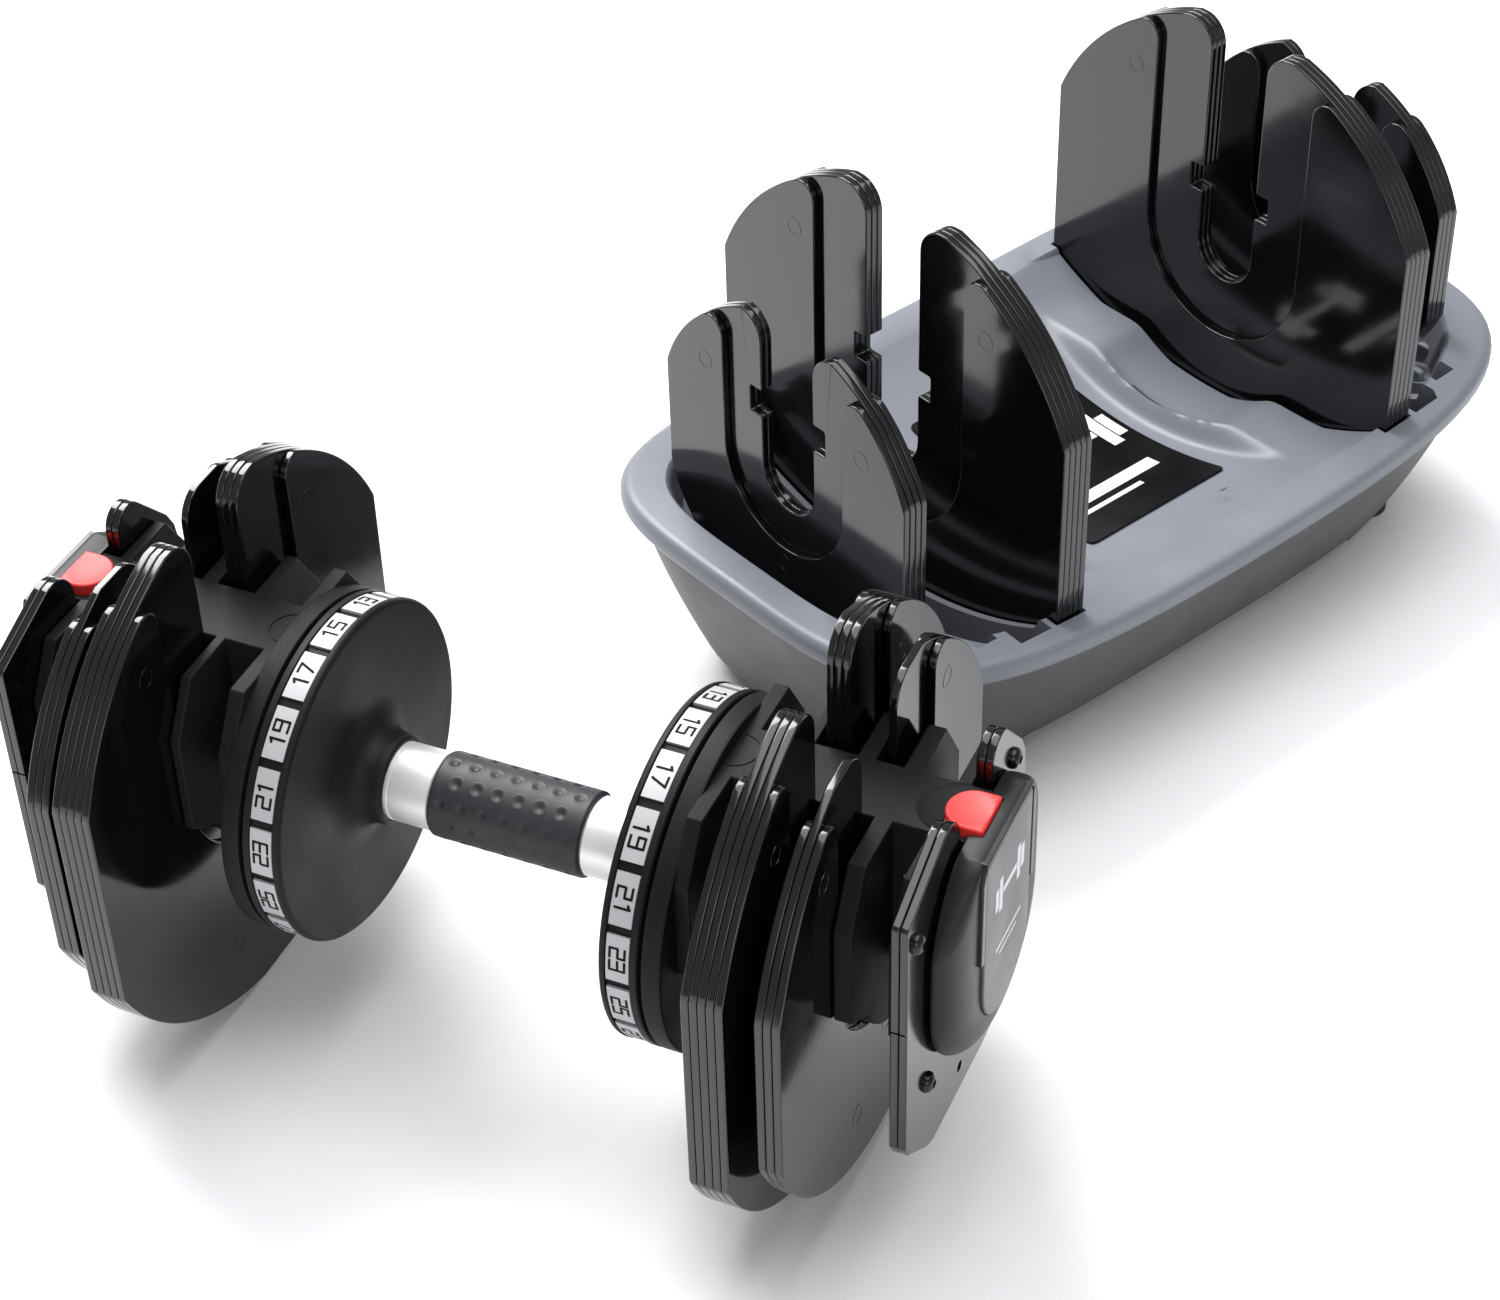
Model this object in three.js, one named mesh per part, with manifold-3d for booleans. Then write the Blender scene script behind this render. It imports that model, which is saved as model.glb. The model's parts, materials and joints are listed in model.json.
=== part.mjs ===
// Adjustable dumbbell with its storage cradle and the plates that are parked in it.
// Millimetres, +Z up. The dumbbell's handle runs along X. The origin is on the floor, under the middle of the set.
import * as THREE from "three";
import { mergeVertices } from "three/addons/utils/BufferGeometryUtils.js";
import Module from "manifold-3d";

const wasm = await Module();
wasm.setup();

// ---- Driving dimensions ----
const GAP = 0.4; // clearance between touching pieces
const BIG_ROUND = 32; // segments of the dials and flanges
const AXIS_HEIGHT = 116.5; // handle axis above the floor, with the dumbbell on its largest plates

// Handle
const TUBE_R = 16;
const TUBE_WALL = 3;
const TUBE_HALF = 71.5;
const GRIP_R = 17.4;
const GRIP_HALF = 32.5;
const GRIP_WALL = 2;
const ROD_R = 4;
const BUSH_R = 9;

// Dials: x positions are measured outwards from the middle of the handle
const DIAL_R = 70;
const DIAL_INNER = 66.5;
const DIAL_OUTER = 82.5;
const BOSS_TIP = 52;
const BAND_INNER = 69.5;
const BAND_OUTER = 79.5;
const BAND_DEPTH = 1.6;

// Plates: inner face, outer face, radius, half width and height of the top, from the handle axis
const PLATE = {
  1: { inner: 98, outer: 114, radius: 118, half: 108.5, top: 113.5, recess: 47 },
  2: { inner: 119, outer: 135, radius: 118, half: 108.5, top: 113.5, recess: 47 },
  3: { inner: 143, outer: 153, radius: 107.5, half: 101, top: 99, recess: 47 },
  4: { inner: 161, outer: 174, radius: 82, half: 77, top: 77, recess: 38 },
  5: { inner: 180.2, outer: 186.8 },
};
// Plate 5 has an arm at each side of its slot: [y, z, radius] of their round tops.
const ARM = { far: [25.5, 72.5, 9], near: [-28.5, 69, 12] };
const FIXED_SIDES = [ // [y, z] from the far arm round to the near one
  [49, 60.5], [53, 53], [54, 47], [54, -47], [50.5, -55], [40, -62], [27, -67], [14, -68.5], [-38, -68.5],
  [-45, -65.5], [-54, -58.5], [-64, -50.5], [-67, -45], [-67, 66],
];
const SHEET = 3.2;
const SLOT_HALF = 16.5;
const SLOT_CENTRE = 2.5; // height of the centre of the slot's round bottom
const SLOT_ROUND = 13; // rounding of the two tops beside the slot
const NOTCH = { low: 27, high: 40, depth: 7.5 };
const SCREWS = [[-59, 54], [-46, -29], [39, 59]]; // [y, z] of the screws in plate 5
const PIN_HOLE = [-11, -55.5]; // [y, z] of the small hole in plate 5

// Housing at each end
const FLANGE = { inner: 84, outer: 92, radius: 70 };
const HOUSING_OUTER = 187.8;
const DECK = 64; // height of the housing's top face
const WEB_HALF = 14.5;
const CHANNEL_R = 8.8; // tunnel for the selector shaft
const BAR = { low: 28, high: 39, thick: 6, half: 13.8, travel: 7.5, legHalf: 3, legLow: 11 };
const LOCKED = { 1: false, 2: true, 3: true, 4: false };

// End cap, badge, button and lock
const CAP_INNER = 188.2;
const CAP_OUTER = 198.6;
const CAP_WALL = 2.2;
const BADGE_THICK = 1.4;
const WHEEL = { inner: 189, outer: 191.4, radius: 15, notches: 18 };
const BUTTON = { inner: 175.5, outer: 193, half: 10.5, low: 57, high: 66.5, travel: 3.5 };

// Cradle, in its own frame: X along its length, z = 0 on the floor
const CRADLE = { x: 98, y: 366, yaw: 63.9 };
const CRADLE_AXIS = 135; // height of the plates' axis above the floor
const RIM = { half: [209, 124], top: 88, seam: 77, power: 4.2 };
const LIFT = 14; // the rim is this much higher at its two ends
const FOOT = { half: [176, 88], z: 5 };
const ARCH_HIGH = 14; // openings under the long sides and the ends of the base
const LONG_ARCH = { half: 110, from: 62 };
const END_ARCH = { half: 60, from: 165 };
const TROUGH = { radius: 211, low: 62 };
const TRAY_FLOOR = 48;
const WALL = 3.5; // thickness of the base shell
const SCREW_PLACES = [[-60, -45], [-60, 45], [60, -45], [60, 45]];
const FOOT_PLACES = [[-146, -64], [-146, 64], [146, -64], [146, 64]];

// ---- Solids ----
// A closed geometry, with shared corners merged and its faces turned outwards.
function closed(geometry) {
  const bare = geometry.clone();
  for (const name of Object.keys(bare.attributes)) {
    if (name !== "position") bare.deleteAttribute(name);
  }
  const merged = mergeVertices(bare, 1e-3);
  const kept = [];
  const at = merged.index.array;
  const p = merged.attributes.position;
  const [a, b, c] = [new THREE.Vector3(), new THREE.Vector3(), new THREE.Vector3()];
  let volume = 0;
  for (let i = 0; i < at.length; i += 3) {
    const [i0, i1, i2] = [at[i], at[i + 1], at[i + 2]];
    if (i0 === i1 || i1 === i2 || i2 === i0) continue;
    kept.push([i0, i1, i2]);
    volume += a.fromBufferAttribute(p, i0).dot(
      b.fromBufferAttribute(p, i1).cross(c.fromBufferAttribute(p, i2)),
    );
  }
  merged.setIndex(kept.flatMap(([x, y, z]) => (volume < 0 ? [x, z, y] : [x, y, z])));
  return merged;
}

function toManifold(geometry) {
  const g = closed(geometry);
  const vertProperties = new Float32Array(g.attributes.position.array);
  return new wasm.Manifold(
    new wasm.Mesh({ numProp: 3, vertProperties, triVerts: new Uint32Array(g.index.array) }),
  );
}

function fromManifold(solid) {
  const mesh = solid.getMesh();
  return new THREE.BufferGeometry()
    .setAttribute("position", new THREE.BufferAttribute(mesh.vertProperties, 3))
    .setIndex(new THREE.BufferAttribute(mesh.triVerts, 1));
}

const join = (...parts) => fromManifold(parts.map(toManifold).reduce((a, b) => a.add(b)));
const cut = (base, ...tools) =>
  fromManifold(tools.map(toManifold).reduce((a, b) => a.subtract(b), toManifold(base)));
const common = (a, b) => fromManifold(toManifold(a).intersect(toManifold(b)));

// ---- Shapes ----
// Points on an arc, angles in degrees.
function arc(y, z, radius, from, to, steps) {
  return Array.from({ length: steps + 1 }, (_, i) => {
    const t = THREE.MathUtils.degToRad(from + ((to - from) * i) / steps);
    return [y + radius * Math.cos(t), z + radius * Math.sin(t)];
  });
}

const mirrored = (half) => [...half, ...half.map(([y, z]) => [-y, z]).reverse()];
const shapeOf = (points) => new THREE.Shape(points.map(([u, v]) => new THREE.Vector2(u, v)));

const TO_X = new THREE.Matrix4().makeBasis(
  new THREE.Vector3(0, 1, 0),
  new THREE.Vector3(0, 0, 1),
  new THREE.Vector3(1, 0, 0),
);

// An outline of [y, z] points, extruded along X.
function alongX(points, from, to) {
  const g = new THREE.ExtrudeGeometry(shapeOf(points), { depth: to - from, bevelEnabled: false });
  return g.translate(0, 0, from).applyMatrix4(TO_X);
}

// An outline of [x, y] points, extruded upwards.
function upwards(points, from, to) {
  const g = new THREE.ExtrudeGeometry(shapeOf(points), { depth: to - from, bevelEnabled: false });
  return g.translate(0, 0, from);
}

// A profile of [x, radius] points that closes on itself, turned about the X axis.
function turned(profile, segments = 24) {
  const points = [...profile, profile[0]].map(([x, r]) => new THREE.Vector2(r, x));
  return new THREE.LatheGeometry(points, segments).rotateZ(-Math.PI / 2);
}

const ring = (from, to, outer, inner, segments) =>
  turned([[from, inner], [from, outer], [to, outer], [to, inner]], segments);

// A cylinder along X through (y, z).
function barX(from, to, radius, y = 0, z = 0, segments = 24) {
  const g = new THREE.CylinderGeometry(radius, radius, to - from, segments);
  return g.rotateZ(Math.PI / 2).translate((from + to) / 2, y, z);
}

function post(x, y, from, to, radius, segments = 16) {
  const g = new THREE.CylinderGeometry(radius, radius, to - from, segments);
  return g.rotateX(Math.PI / 2).translate(x, y, (from + to) / 2);
}

function box(x0, x1, y0, y1, z0, z1) {
  const g = new THREE.BoxGeometry(x1 - x0, y1 - y0, z1 - z0);
  return g.translate((x0 + x1) / 2, (y0 + y1) / 2, (z0 + z1) / 2);
}

// A solid through a list of outlines with equal numbers of [x, y, z] points.
function loft(sections) {
  const count = sections[0].length;
  const positions = sections.flat(2);
  const index = [];
  for (let s = 0; s + 1 < sections.length; s += 1) {
    for (let i = 0; i < count; i += 1) {
      const a = s * count + i;
      const b = s * count + ((i + 1) % count);
      index.push(a, b, b + count, a, b + count, a + count);
    }
  }
  const last = (sections.length - 1) * count;
  for (let i = 1; i + 1 < count; i += 1) {
    index.push(0, i + 1, i, last, last + i, last + i + 1);
  }
  return new THREE.BufferGeometry()
    .setAttribute("position", new THREE.Float32BufferAttribute(positions, 3))
    .setIndex(index);
}

// ---- Materials ----
const finish = (color, roughness, metalness = 0) =>
  new THREE.MeshStandardMaterial({ color, roughness, metalness });
const MATTE_BLACK = finish(0x1c1c1e, 0.7);
const GLOSS_BLACK = finish(0x0b0b0d, 0.25, 0.2);
const CAP_GREY = finish(0x2b2b2e, 0.55);
const BADGE_GREY = finish(0x55565b, 0.45);
const RUBBER = finish(0x1a1b1d, 0.85);
const ALUMINIUM = finish(0xc9cbce, 0.35, 0.9);
const STEEL = finish(0x9a9da1, 0.35, 1);
const SCREW_BLACK = finish(0x101012, 0.3, 0.8);
const SILVER_BAND = finish(0xc6c8cb, 0.4, 0.4);
const RED = finish(0xf0524a, 0.45);
const TRAY_GREY = finish(0x8a8d97, 0.45);
const BASE_GREY = finish(0x4a4a4d, 0.6);

function piece(name, geometry, material) {
  const mesh = new THREE.Mesh(closed(geometry), material);
  mesh.name = name;
  return mesh;
}

// ---- Plates ----
// Half of the slot in a plate, from its round bottom up to the top of the plate.
function slotHalf(top, notch) {
  const side = [...arc(0, SLOT_CENTRE, SLOT_HALF, -90, 0, 4)];
  if (notch) {
    const deep = SLOT_HALF + notch.depth;
    side.push([SLOT_HALF, notch.low], [deep, notch.low], [deep, notch.high], [SLOT_HALF, notch.high]);
  }
  return [...side, ...arc(SLOT_HALF + SLOT_ROUND, top - SLOT_ROUND, SLOT_ROUND, 180, 100, 3)];
}

// A round plate with flat sides, a slot from the top, and a wide U let into both faces.
function roundPlate({ inner, outer, radius, half, top, recess }) {
  const topAngle = THREE.MathUtils.radToDeg(Math.asin(top / radius));
  const sideAngle = THREE.MathUtils.radToDeg(Math.acos(half / radius));
  const floorAngle = THREE.MathUtils.radToDeg(Math.asin(Math.min(1, AXIS_HEIGHT / radius)));
  const outline = [
    ...slotHalf(top, NOTCH),
    ...arc(0, 0, radius, topAngle, sideAngle, 6),
    ...arc(0, 0, radius, -sideAngle, -floorAngle, 7),
  ];
  const wide = [
    ...arc(0, 5, recess, -90, 0, 5),
    [recess, top + 20],
  ];
  return cut(
    alongX(mirrored(outline), inner, outer),
    alongX(mirrored(wide), inner - 1, inner + SHEET),
    alongX(mirrored(wide), outer - SHEET, outer + 1),
  );
}

// The fixed outermost plate is lower, and narrower at the far side.
function fixedPlate({ inner, outer }) {
  const outline = [
    ...arc(0, SLOT_CENTRE, SLOT_HALF, -90, 0, 5),
    ...arc(...ARM.far, 180, 45, 4),
    ...FIXED_SIDES,
    ...arc(...ARM.near, 113, 0, 4),
    ...arc(0, SLOT_CENTRE, SLOT_HALF, 180, 252, 4),
  ];
  const plate = alongX(outline, inner, outer);
  const holes = SCREWS.map(([u, v]) => barX(inner - 1, outer + 1, 2.4, u, v, 12));
  return cut(plate, ...holes, barX(inner - 1, outer + 1, 2.2, ...PIN_HOLE, 12));
}

function plateScrew(y, z) {
  const { inner, outer } = PLATE[5];
  const profile = [
    [inner - GAP, 0], [inner - GAP, 2], [outer + GAP, 2], [outer + GAP, 4.2],
    [outer + 2, 4], [outer + 3.2, 2.6], [outer + 3.2, 0],
  ];
  const points = profile.map(([x, r]) => new THREE.Vector2(r, x));
  return new THREE.LatheGeometry(points, 10).rotateZ(-Math.PI / 2).translate(0, y, z);
}

// ---- Handle: everything that turns with the grip ----
function dial() {
  const rim = DIAL_R - BAND_DEPTH;
  return turned(
    [
      [BOSS_TIP, TUBE_R + GAP], [BOSS_TIP, 18],
      [DIAL_INNER, 28.5], [DIAL_INNER, DIAL_R - 1.6], [DIAL_INNER + 1.2, DIAL_R],
      [BAND_INNER, DIAL_R], [BAND_INNER, rim], [BAND_OUTER, rim], [BAND_OUTER, DIAL_R],
      [DIAL_OUTER, DIAL_R], [DIAL_OUTER, 22], [DIAL_OUTER - 5, 22], [DIAL_OUTER - 5, BUSH_R + GAP],
      [TUBE_HALF + GAP, BUSH_R + GAP], [TUBE_HALF + GAP, TUBE_R + GAP],
    ],
    BIG_ROUND,
  );
}

const numberRing = () =>
  ring(BAND_INNER + 0.3, BAND_OUTER - 0.3, DIAL_R - 0.2, DIAL_R - BAND_DEPTH + 0.3, BIG_ROUND);

function handleTube() {
  const neck = GRIP_R - GRIP_WALL;
  const end = GRIP_HALF + GAP;
  return turned([
    [-TUBE_HALF, TUBE_R - TUBE_WALL], [-TUBE_HALF, TUBE_R], [-end, TUBE_R], [-end, neck - GAP],
    [end, neck - GAP], [end, TUBE_R], [TUBE_HALF, TUBE_R], [TUBE_HALF, TUBE_R - TUBE_WALL],
  ]);
}

function grip() {
  const inner = GRIP_R - GRIP_WALL;
  return turned([
    [-GRIP_HALF, inner], [-GRIP_HALF, GRIP_R - 0.8], [-GRIP_HALF + 0.8, GRIP_R],
    [GRIP_HALF - 0.8, GRIP_R], [GRIP_HALF, GRIP_R - 0.8], [GRIP_HALF, inner],
  ]);
}

// The hollow shaft that the dial drives, with a cam under each lock bar and the index wheel at its end.
function selectorShaft() {
  const bore = ROD_R + GAP;
  const tube = ring(DIAL_OUTER - 4.6, WHEEL.outer, 6, bore, 12);
  const cams = [1, 2, 3, 4].map((n) => {
    const middle = (PLATE[n].inner + PLATE[n].outer) / 2;
    const lobe = LOCKED[n] ? 45 : 225;
    const outline = [...arc(0, 0, 7, lobe + 60, lobe + 300, 6), ...arc(0, 0, 8.4, lobe - 30, lobe + 30, 2)];
    return alongX(outline, middle - 3, middle + 3);
  });
  const outline = [];
  for (let i = 0; i < WHEEL.notches; i += 1) {
    const step = 360 / WHEEL.notches;
    outline.push(...arc(0, 0, WHEEL.radius, -90 + i * step + 6, -90 + (i + 1) * step - 6, 1));
    outline.push(...arc(0, 0, WHEEL.radius - 3, -90 + (i + 1) * step - 4, -90 + (i + 1) * step + 4, 1));
  }
  const wheel = alongX(outline, WHEEL.inner, WHEEL.outer);
  return cut(join(tube, ...cams, wheel), barX(90, 200, bore, 0, 0, 12));
}

// ---- Housing: the fixed frame at one end ----
function tooth(from, to) {
  const outline = [[40, DECK], [54, 42], [54, -2], ...arc(0, 3, 41, -22, -90, 4)];
  return alongX(mirrored(outline), from, to);
}

function housing() {
  const drum = turned(
    [
      [FLANGE.inner, CHANNEL_R - 1], [FLANGE.inner, 20], [FLANGE.inner + 3, 20],
      [FLANGE.inner + 3, FLANGE.radius - 5], [FLANGE.inner, FLANGE.radius - 5],
      [FLANGE.inner, FLANGE.radius],
      [FLANGE.outer, FLANGE.radius], [FLANGE.outer, CHANNEL_R - 1],
    ],
    BIG_ROUND,
  );
  const webOutline = [[WEB_HALF, DECK], ...arc(0, SLOT_CENTRE, WEB_HALF, 0, -90, 4)];
  const web = alongX(mirrored(webOutline), FLANGE.outer - 1, HOUSING_OUTER);
  const walls = [
    [FLANGE.outer - 1, PLATE[1].inner], [PLATE[1].outer, PLATE[2].inner], [PLATE[2].outer, PLATE[3].inner],
    [PLATE[3].outer, PLATE[4].inner], [PLATE[4].outer, PLATE[5].inner],
  ];
  const teeth = walls.map(([from, to], i) => tooth(from + (i ? GAP : 0), to - GAP));
  const channels = [1, 2, 3, 4].flatMap((n) => {
    const middle = (PLATE[n].inner + PLATE[n].outer) / 2;
    const half = BAR.thick / 2 + GAP;
    const reach = BAR.legHalf + BAR.travel + GAP;
    return [
      box(middle - half, middle + half, -WEB_HALF - 1, WEB_HALF + 1, BAR.low - GAP, BAR.high + GAP),
      box(middle - half, middle + half, -reach, reach, 5, BAR.low),
    ];
  });
  const buttonPocket = box(
    BUTTON.inner - GAP, HOUSING_OUTER + 1, -BUTTON.half - GAP, BUTTON.half + GAP,
    BUTTON.low - BUTTON.travel - GAP, DECK + 1,
  );
  const springPocket = post(182, 0, 44, 60, 4.6);
  const scoop = new THREE.SphereGeometry(1, 12, 6).scale(19, 15.5, 5).translate(184, 0, DECK + 0.5);
  return cut(
    join(drum, web, ...teeth),
    barX(FLANGE.inner - 1, HOUSING_OUTER + 1, CHANNEL_R, 0, 0, 12),
    ...channels,
    buttonPocket,
    springPocket,
    scoop,
  );
}

function lockBar(n) {
  const middle = (PLATE[n].inner + PLATE[n].outer) / 2;
  const side = n % 2 ? 1 : -1;
  const shift = LOCKED[n] ? side * BAR.travel : 0;
  const half = BAR.thick / 2;
  const bar = box(middle - half, middle + half, -BAR.half, BAR.half, BAR.low, BAR.high);
  const leg = box(middle - half, middle + half, -BAR.legHalf, BAR.legHalf, BAR.legLow, BAR.low + 1);
  return join(bar, leg).translate(0, shift, 0);
}

// Outline of the end cap at a distance x, widest at its foot, with sloping shoulders beside the deck.
function capSection(x, half, top, low) {
  const shoulder = half - 24;
  return mirrored([
    [0.001, low], ...arc(0, low + half, half, -80, 0, 7), [half, top - 4 - 1.1 * shoulder],
    [half - 0.3 * shoulder, top - 2 - 0.5 * shoulder], [24, top], [0.001, top],
  ]).map(([y, z]) => [x, y, z]);
}

function endCap() {
  const shell = cut(
    loft([
      capSection(CAP_INNER, 48, DECK, -40), capSection(CAP_INNER + 5, 44, DECK + 1, -37),
      capSection(CAP_OUTER - 1, 31, DECK + 0.5, -28), capSection(CAP_OUTER, 28.5, DECK, -25.5),
    ]),
    loft([
      capSection(CAP_INNER - 1, 45, DECK - 3, -37.5), capSection(CAP_INNER + 4, 41, DECK - 3, -34),
      capSection(CAP_OUTER - CAP_WALL, 28, DECK - 4, -24),
    ]),
  );
  const opening = box(
    CAP_INNER - 2, BUTTON.outer + GAP, -BUTTON.half - GAP, BUTTON.half + GAP,
    BUTTON.low - BUTTON.travel - GAP, DECK + 8,
  );
  return cut(shell, opening);
}

function badge() {
  const outline = [[0.001, -24.5], ...arc(0, 0, 24, -78, 0, 7), [24, 62.4], [0.001, 63.4]];
  return alongX(mirrored(outline), CAP_OUTER + 0.3, CAP_OUTER + 0.3 + BADGE_THICK);
}

function lockButton() {
  const { inner, outer, half, low, high } = BUTTON;
  const top = [[outer, -half], [outer, half], ...arc(inner + half, 0, half, 90, 270, 10)];
  const head = upwards(top, low, high);
  const dish = new THREE.SphereGeometry(1, 10, 6).scale(9, 12, 1.6).translate(inner + 9, 0, high + 0.4);
  return cut(head, dish);
}

// The steel catch under the button: it passes beside the index wheel and holds it from below.
function lockPawl() {
  const arm = 22;
  const top = BUTTON.low - GAP;
  const inside = arm - 3;
  const tip = -WHEEL.radius - GAP;
  const outline = [
    [-6, top], [-6, 50], [inside, 50], [inside, tip - 1.5], [3, tip - 1.5], [1.2, tip],
    [-1.2, tip], [-2, tip - 4.5], [arm, tip - 4.5], [arm, 53], [9, top],
  ];
  return alongX(outline, WHEEL.inner, WHEEL.outer);
}

const buttonSpring = () => post(182, 0, 44.4, BUTTON.low - GAP, 4, 12);

// One end of the dumbbell, built at +X. The other end is its mirror image.
function end(side) {
  const group = new THREE.Group();
  const add = (name, geometry, material) => group.add(piece(`${name}_${side}`, geometry, material));
  add("dial", dial(), MATTE_BLACK);
  add("number_ring", numberRing(), SILVER_BAND);
  add("handle_bushing", ring(TUBE_HALF + GAP + 0.3, DIAL_OUTER - 5, BUSH_R, ROD_R + GAP, 14), STEEL);
  add("selector_shaft", selectorShaft(), STEEL);
  add("housing", housing(), MATTE_BLACK);
  add("plate_2", roundPlate(PLATE[2]), GLOSS_BLACK);
  add("plate_3", roundPlate(PLATE[3]), GLOSS_BLACK);
  add("plate_5", fixedPlate(PLATE[5]), GLOSS_BLACK);
  SCREWS.forEach(([y, z], i) => add(`plate_screw_${i + 1}`, plateScrew(y, z), SCREW_BLACK));
  for (const n of [1, 2, 3, 4]) add(`lock_bar_${n}`, lockBar(n), STEEL);
  add("end_cap", endCap(), CAP_GREY);
  add("badge", badge(), BADGE_GREY);
  add("lock_button", lockButton(), RED);
  add("button_spring", buttonSpring(), STEEL);
  add("lock_pawl", lockPawl(), STEEL);
  if (side === "left") group.scale.x = -1;
  return group;
}

function dumbbell() {
  const group = new THREE.Group();
  group.add(piece("handle_tube", handleTube(), ALUMINIUM));
  group.add(piece("grip", grip(), RUBBER));
  const reach = CAP_OUTER - CAP_WALL - 0.6;
  group.add(piece("axle_rod", barX(-reach, reach, ROD_R, 0, 0, 12), STEEL));
  group.add(end("right"), end("left"));
  group.position.z = AXIS_HEIGHT;
  return group;
}

// ---- Cradle ----
// A rounded oblong: [x, y] points of a superellipse.
function oblong([a, b], steps = 40) {
  return Array.from({ length: steps }, (_, i) => {
    const t = (2 * Math.PI * i) / steps;
    const bend = (v) => Math.sign(v) * Math.abs(v) ** (2 / RIM.power);
    return [a * bend(Math.cos(t)), b * bend(Math.sin(t))];
  });
}

// The same at a height z, or higher towards both ends.
const level = (half, z, lift = 0) => oblong(half).map(([x, y]) => [x, y, z + lift * (x / half[0]) ** 2]);
const inset = ([a, b], by) => [a - by, b - by];

// The recess that one plate stands in, on the side given by sign.
function plateSlot({ inner, outer, radius, half }, sign) {
  const room = 1;
  const limit = half + room;
  const sideAngle = THREE.MathUtils.radToDeg(Math.acos(limit / (radius + room)));
  const outline = [...arc(0, 0, radius + room, -90, -sideAngle, 6), [limit, 20]];
  const ends = [sign * (inner - room), sign * (outer + room)].sort((a, b) => a - b);
  return alongX(mirrored(outline), ...ends).translate(0, 0, CRADLE_AXIS);
}

function tray() {
  const rim = loft([
    level(inset(RIM.half, 40), RIM.seam, LIFT), level(inset(RIM.half, 5), RIM.seam, LIFT),
    level(RIM.half, RIM.seam + 3, LIFT), level(RIM.half, RIM.top - 4, LIFT),
    level(inset(RIM.half, 4), RIM.top, LIFT), level(inset(RIM.half, 40), RIM.top, LIFT),
  ]);
  const body = loft([
    level(inset(RIM.half, 33), TRAY_FLOOR), level(inset(RIM.half, 12), RIM.seam + 4, LIFT),
  ]);
  const wells = [-1, 1].map((sign) => {
    const ends = [sign * 94, sign * 160].sort((a, b) => a - b);
    const well = alongX(mirrored(arc(0, 0, 121.5, -90, -38, 7)), ...ends);
    return common(well.translate(0, 0, CRADLE_AXIS), baseHollow(WALL + 1));
  });
  const trough = [...arc(0, 0, TROUGH.radius, -90, -58, 7), [112, -150]];
  const hollow = alongX(mirrored(trough), -212, 212);
  hollow.translate(0, 0, TROUGH.low + TROUGH.radius);
  const inside = loft([
    level(inset(RIM.half, 24), TRAY_FLOOR + 4), level(inset(RIM.half, 15), RIM.top + 4, LIFT),
  ]);
  const saddles = [-1, 1].map((sign) => {
    const section = (x, top) => {
      const outline = mirrored([[78, TROUGH.low], [66, top], [0.001, top]]);
      return outline.map(([y, z]) => [sign * x, y, z]);
    };
    return loft([section(94, TROUGH.low + 15), section(62, TROUGH.low + 15), section(46, TROUGH.low + 1)]);
  });
  const scoops = [-1, 1].map((sign) => {
    const ends = [sign * (DIAL_INNER - 4), sign * 95].sort((a, b) => a - b);
    return barX(...ends, DIAL_R + 2, 0, CRADLE_AXIS, BIG_ROUND);
  });
  const slots = [-1, 1].flatMap((sign) => [1, 2, 3, 4].map((n) => plateSlot(PLATE[n], sign)));
  const bosses = SCREW_PLACES.map(([x, y]) => post(x, y, 12, TRAY_FLOOR + 2, 7));
  const pilots = SCREW_PLACES.map(([x, y]) => post(x, y, 10, 30, 2.2, 12));
  return cut(
    join(cut(join(rim, body), common(hollow, inside)), ...wells, ...saddles, ...bosses),
    ...scoops,
    ...slots,
    ...pilots,
  );
}

// The space inside the base shell, a given distance in from its outer face.
function baseHollow(wall) {
  return loft([
    level(inset(FOOT.half, wall), FOOT.z + 3 + WALL),
    level(inset(RIM.half, wall + 5), RIM.seam + 6, LIFT),
  ]);
}

// The openings under the sides of the base, or with a wall round them.
function archSpaces(wall = 0) {
  const top = ARCH_HIGH + wall;
  return [[LONG_ARCH, 0], [LONG_ARCH, Math.PI], [END_ARCH, Math.PI / 2], [END_ARCH, -Math.PI / 2]].map(
    ([{ half, from }, turn]) => {
      const reach = half + wall;
      const outline = [[-reach - 8, -1], [reach + 8, -1], [reach - 2, top], [2 - reach, top]];
      const space = loft([from - wall, from + 80].map((y) => outline.map(([x, z]) => [x, y, z])));
      return space.rotateZ(turn);
    },
  );
}

function baseShell() {
  const outer = loft([
    level(FOOT.half, FOOT.z), level(inset(RIM.half, 6), RIM.seam - 0.6, LIFT),
    level(inset(RIM.half, 30), RIM.seam - 0.6, LIFT),
  ]);
  const inner = cut(baseHollow(WALL), ...archSpaces(WALL));
  const holes = SCREW_PLACES.map(([x, y]) => post(x, y, 0, FOOT.z + 9, 2.6, 12));
  const heads = SCREW_PLACES.map(([x, y]) => post(x, y, 0, FOOT.z + 3, 5.2, 16));
  return cut(outer, inner, ...archSpaces(), ...holes, ...heads);
}

function baseScrew([x, y]) {
  return join(post(x, y, FOOT.z + 0.4, FOOT.z + 2.6, 4.5, 12), post(x, y, FOOT.z + 2, 28, 2, 12));
}

function footPad(x, y) {
  return post(x, y, 0, FOOT.z - 0.3, 12, 20);
}

// The label follows the curve of the tray's trough.
function labelPlate() {
  const turn = 17;
  const outline = [
    ...arc(0, 0, TROUGH.radius - 0.3, -90 - turn, -90 + turn, 10),
    ...arc(0, 0, TROUGH.radius - 1.3, -90 + turn, -90 - turn, 10),
  ];
  return alongX(outline, -43, 43).translate(0, 0, TROUGH.low + TROUGH.radius);
}

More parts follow.
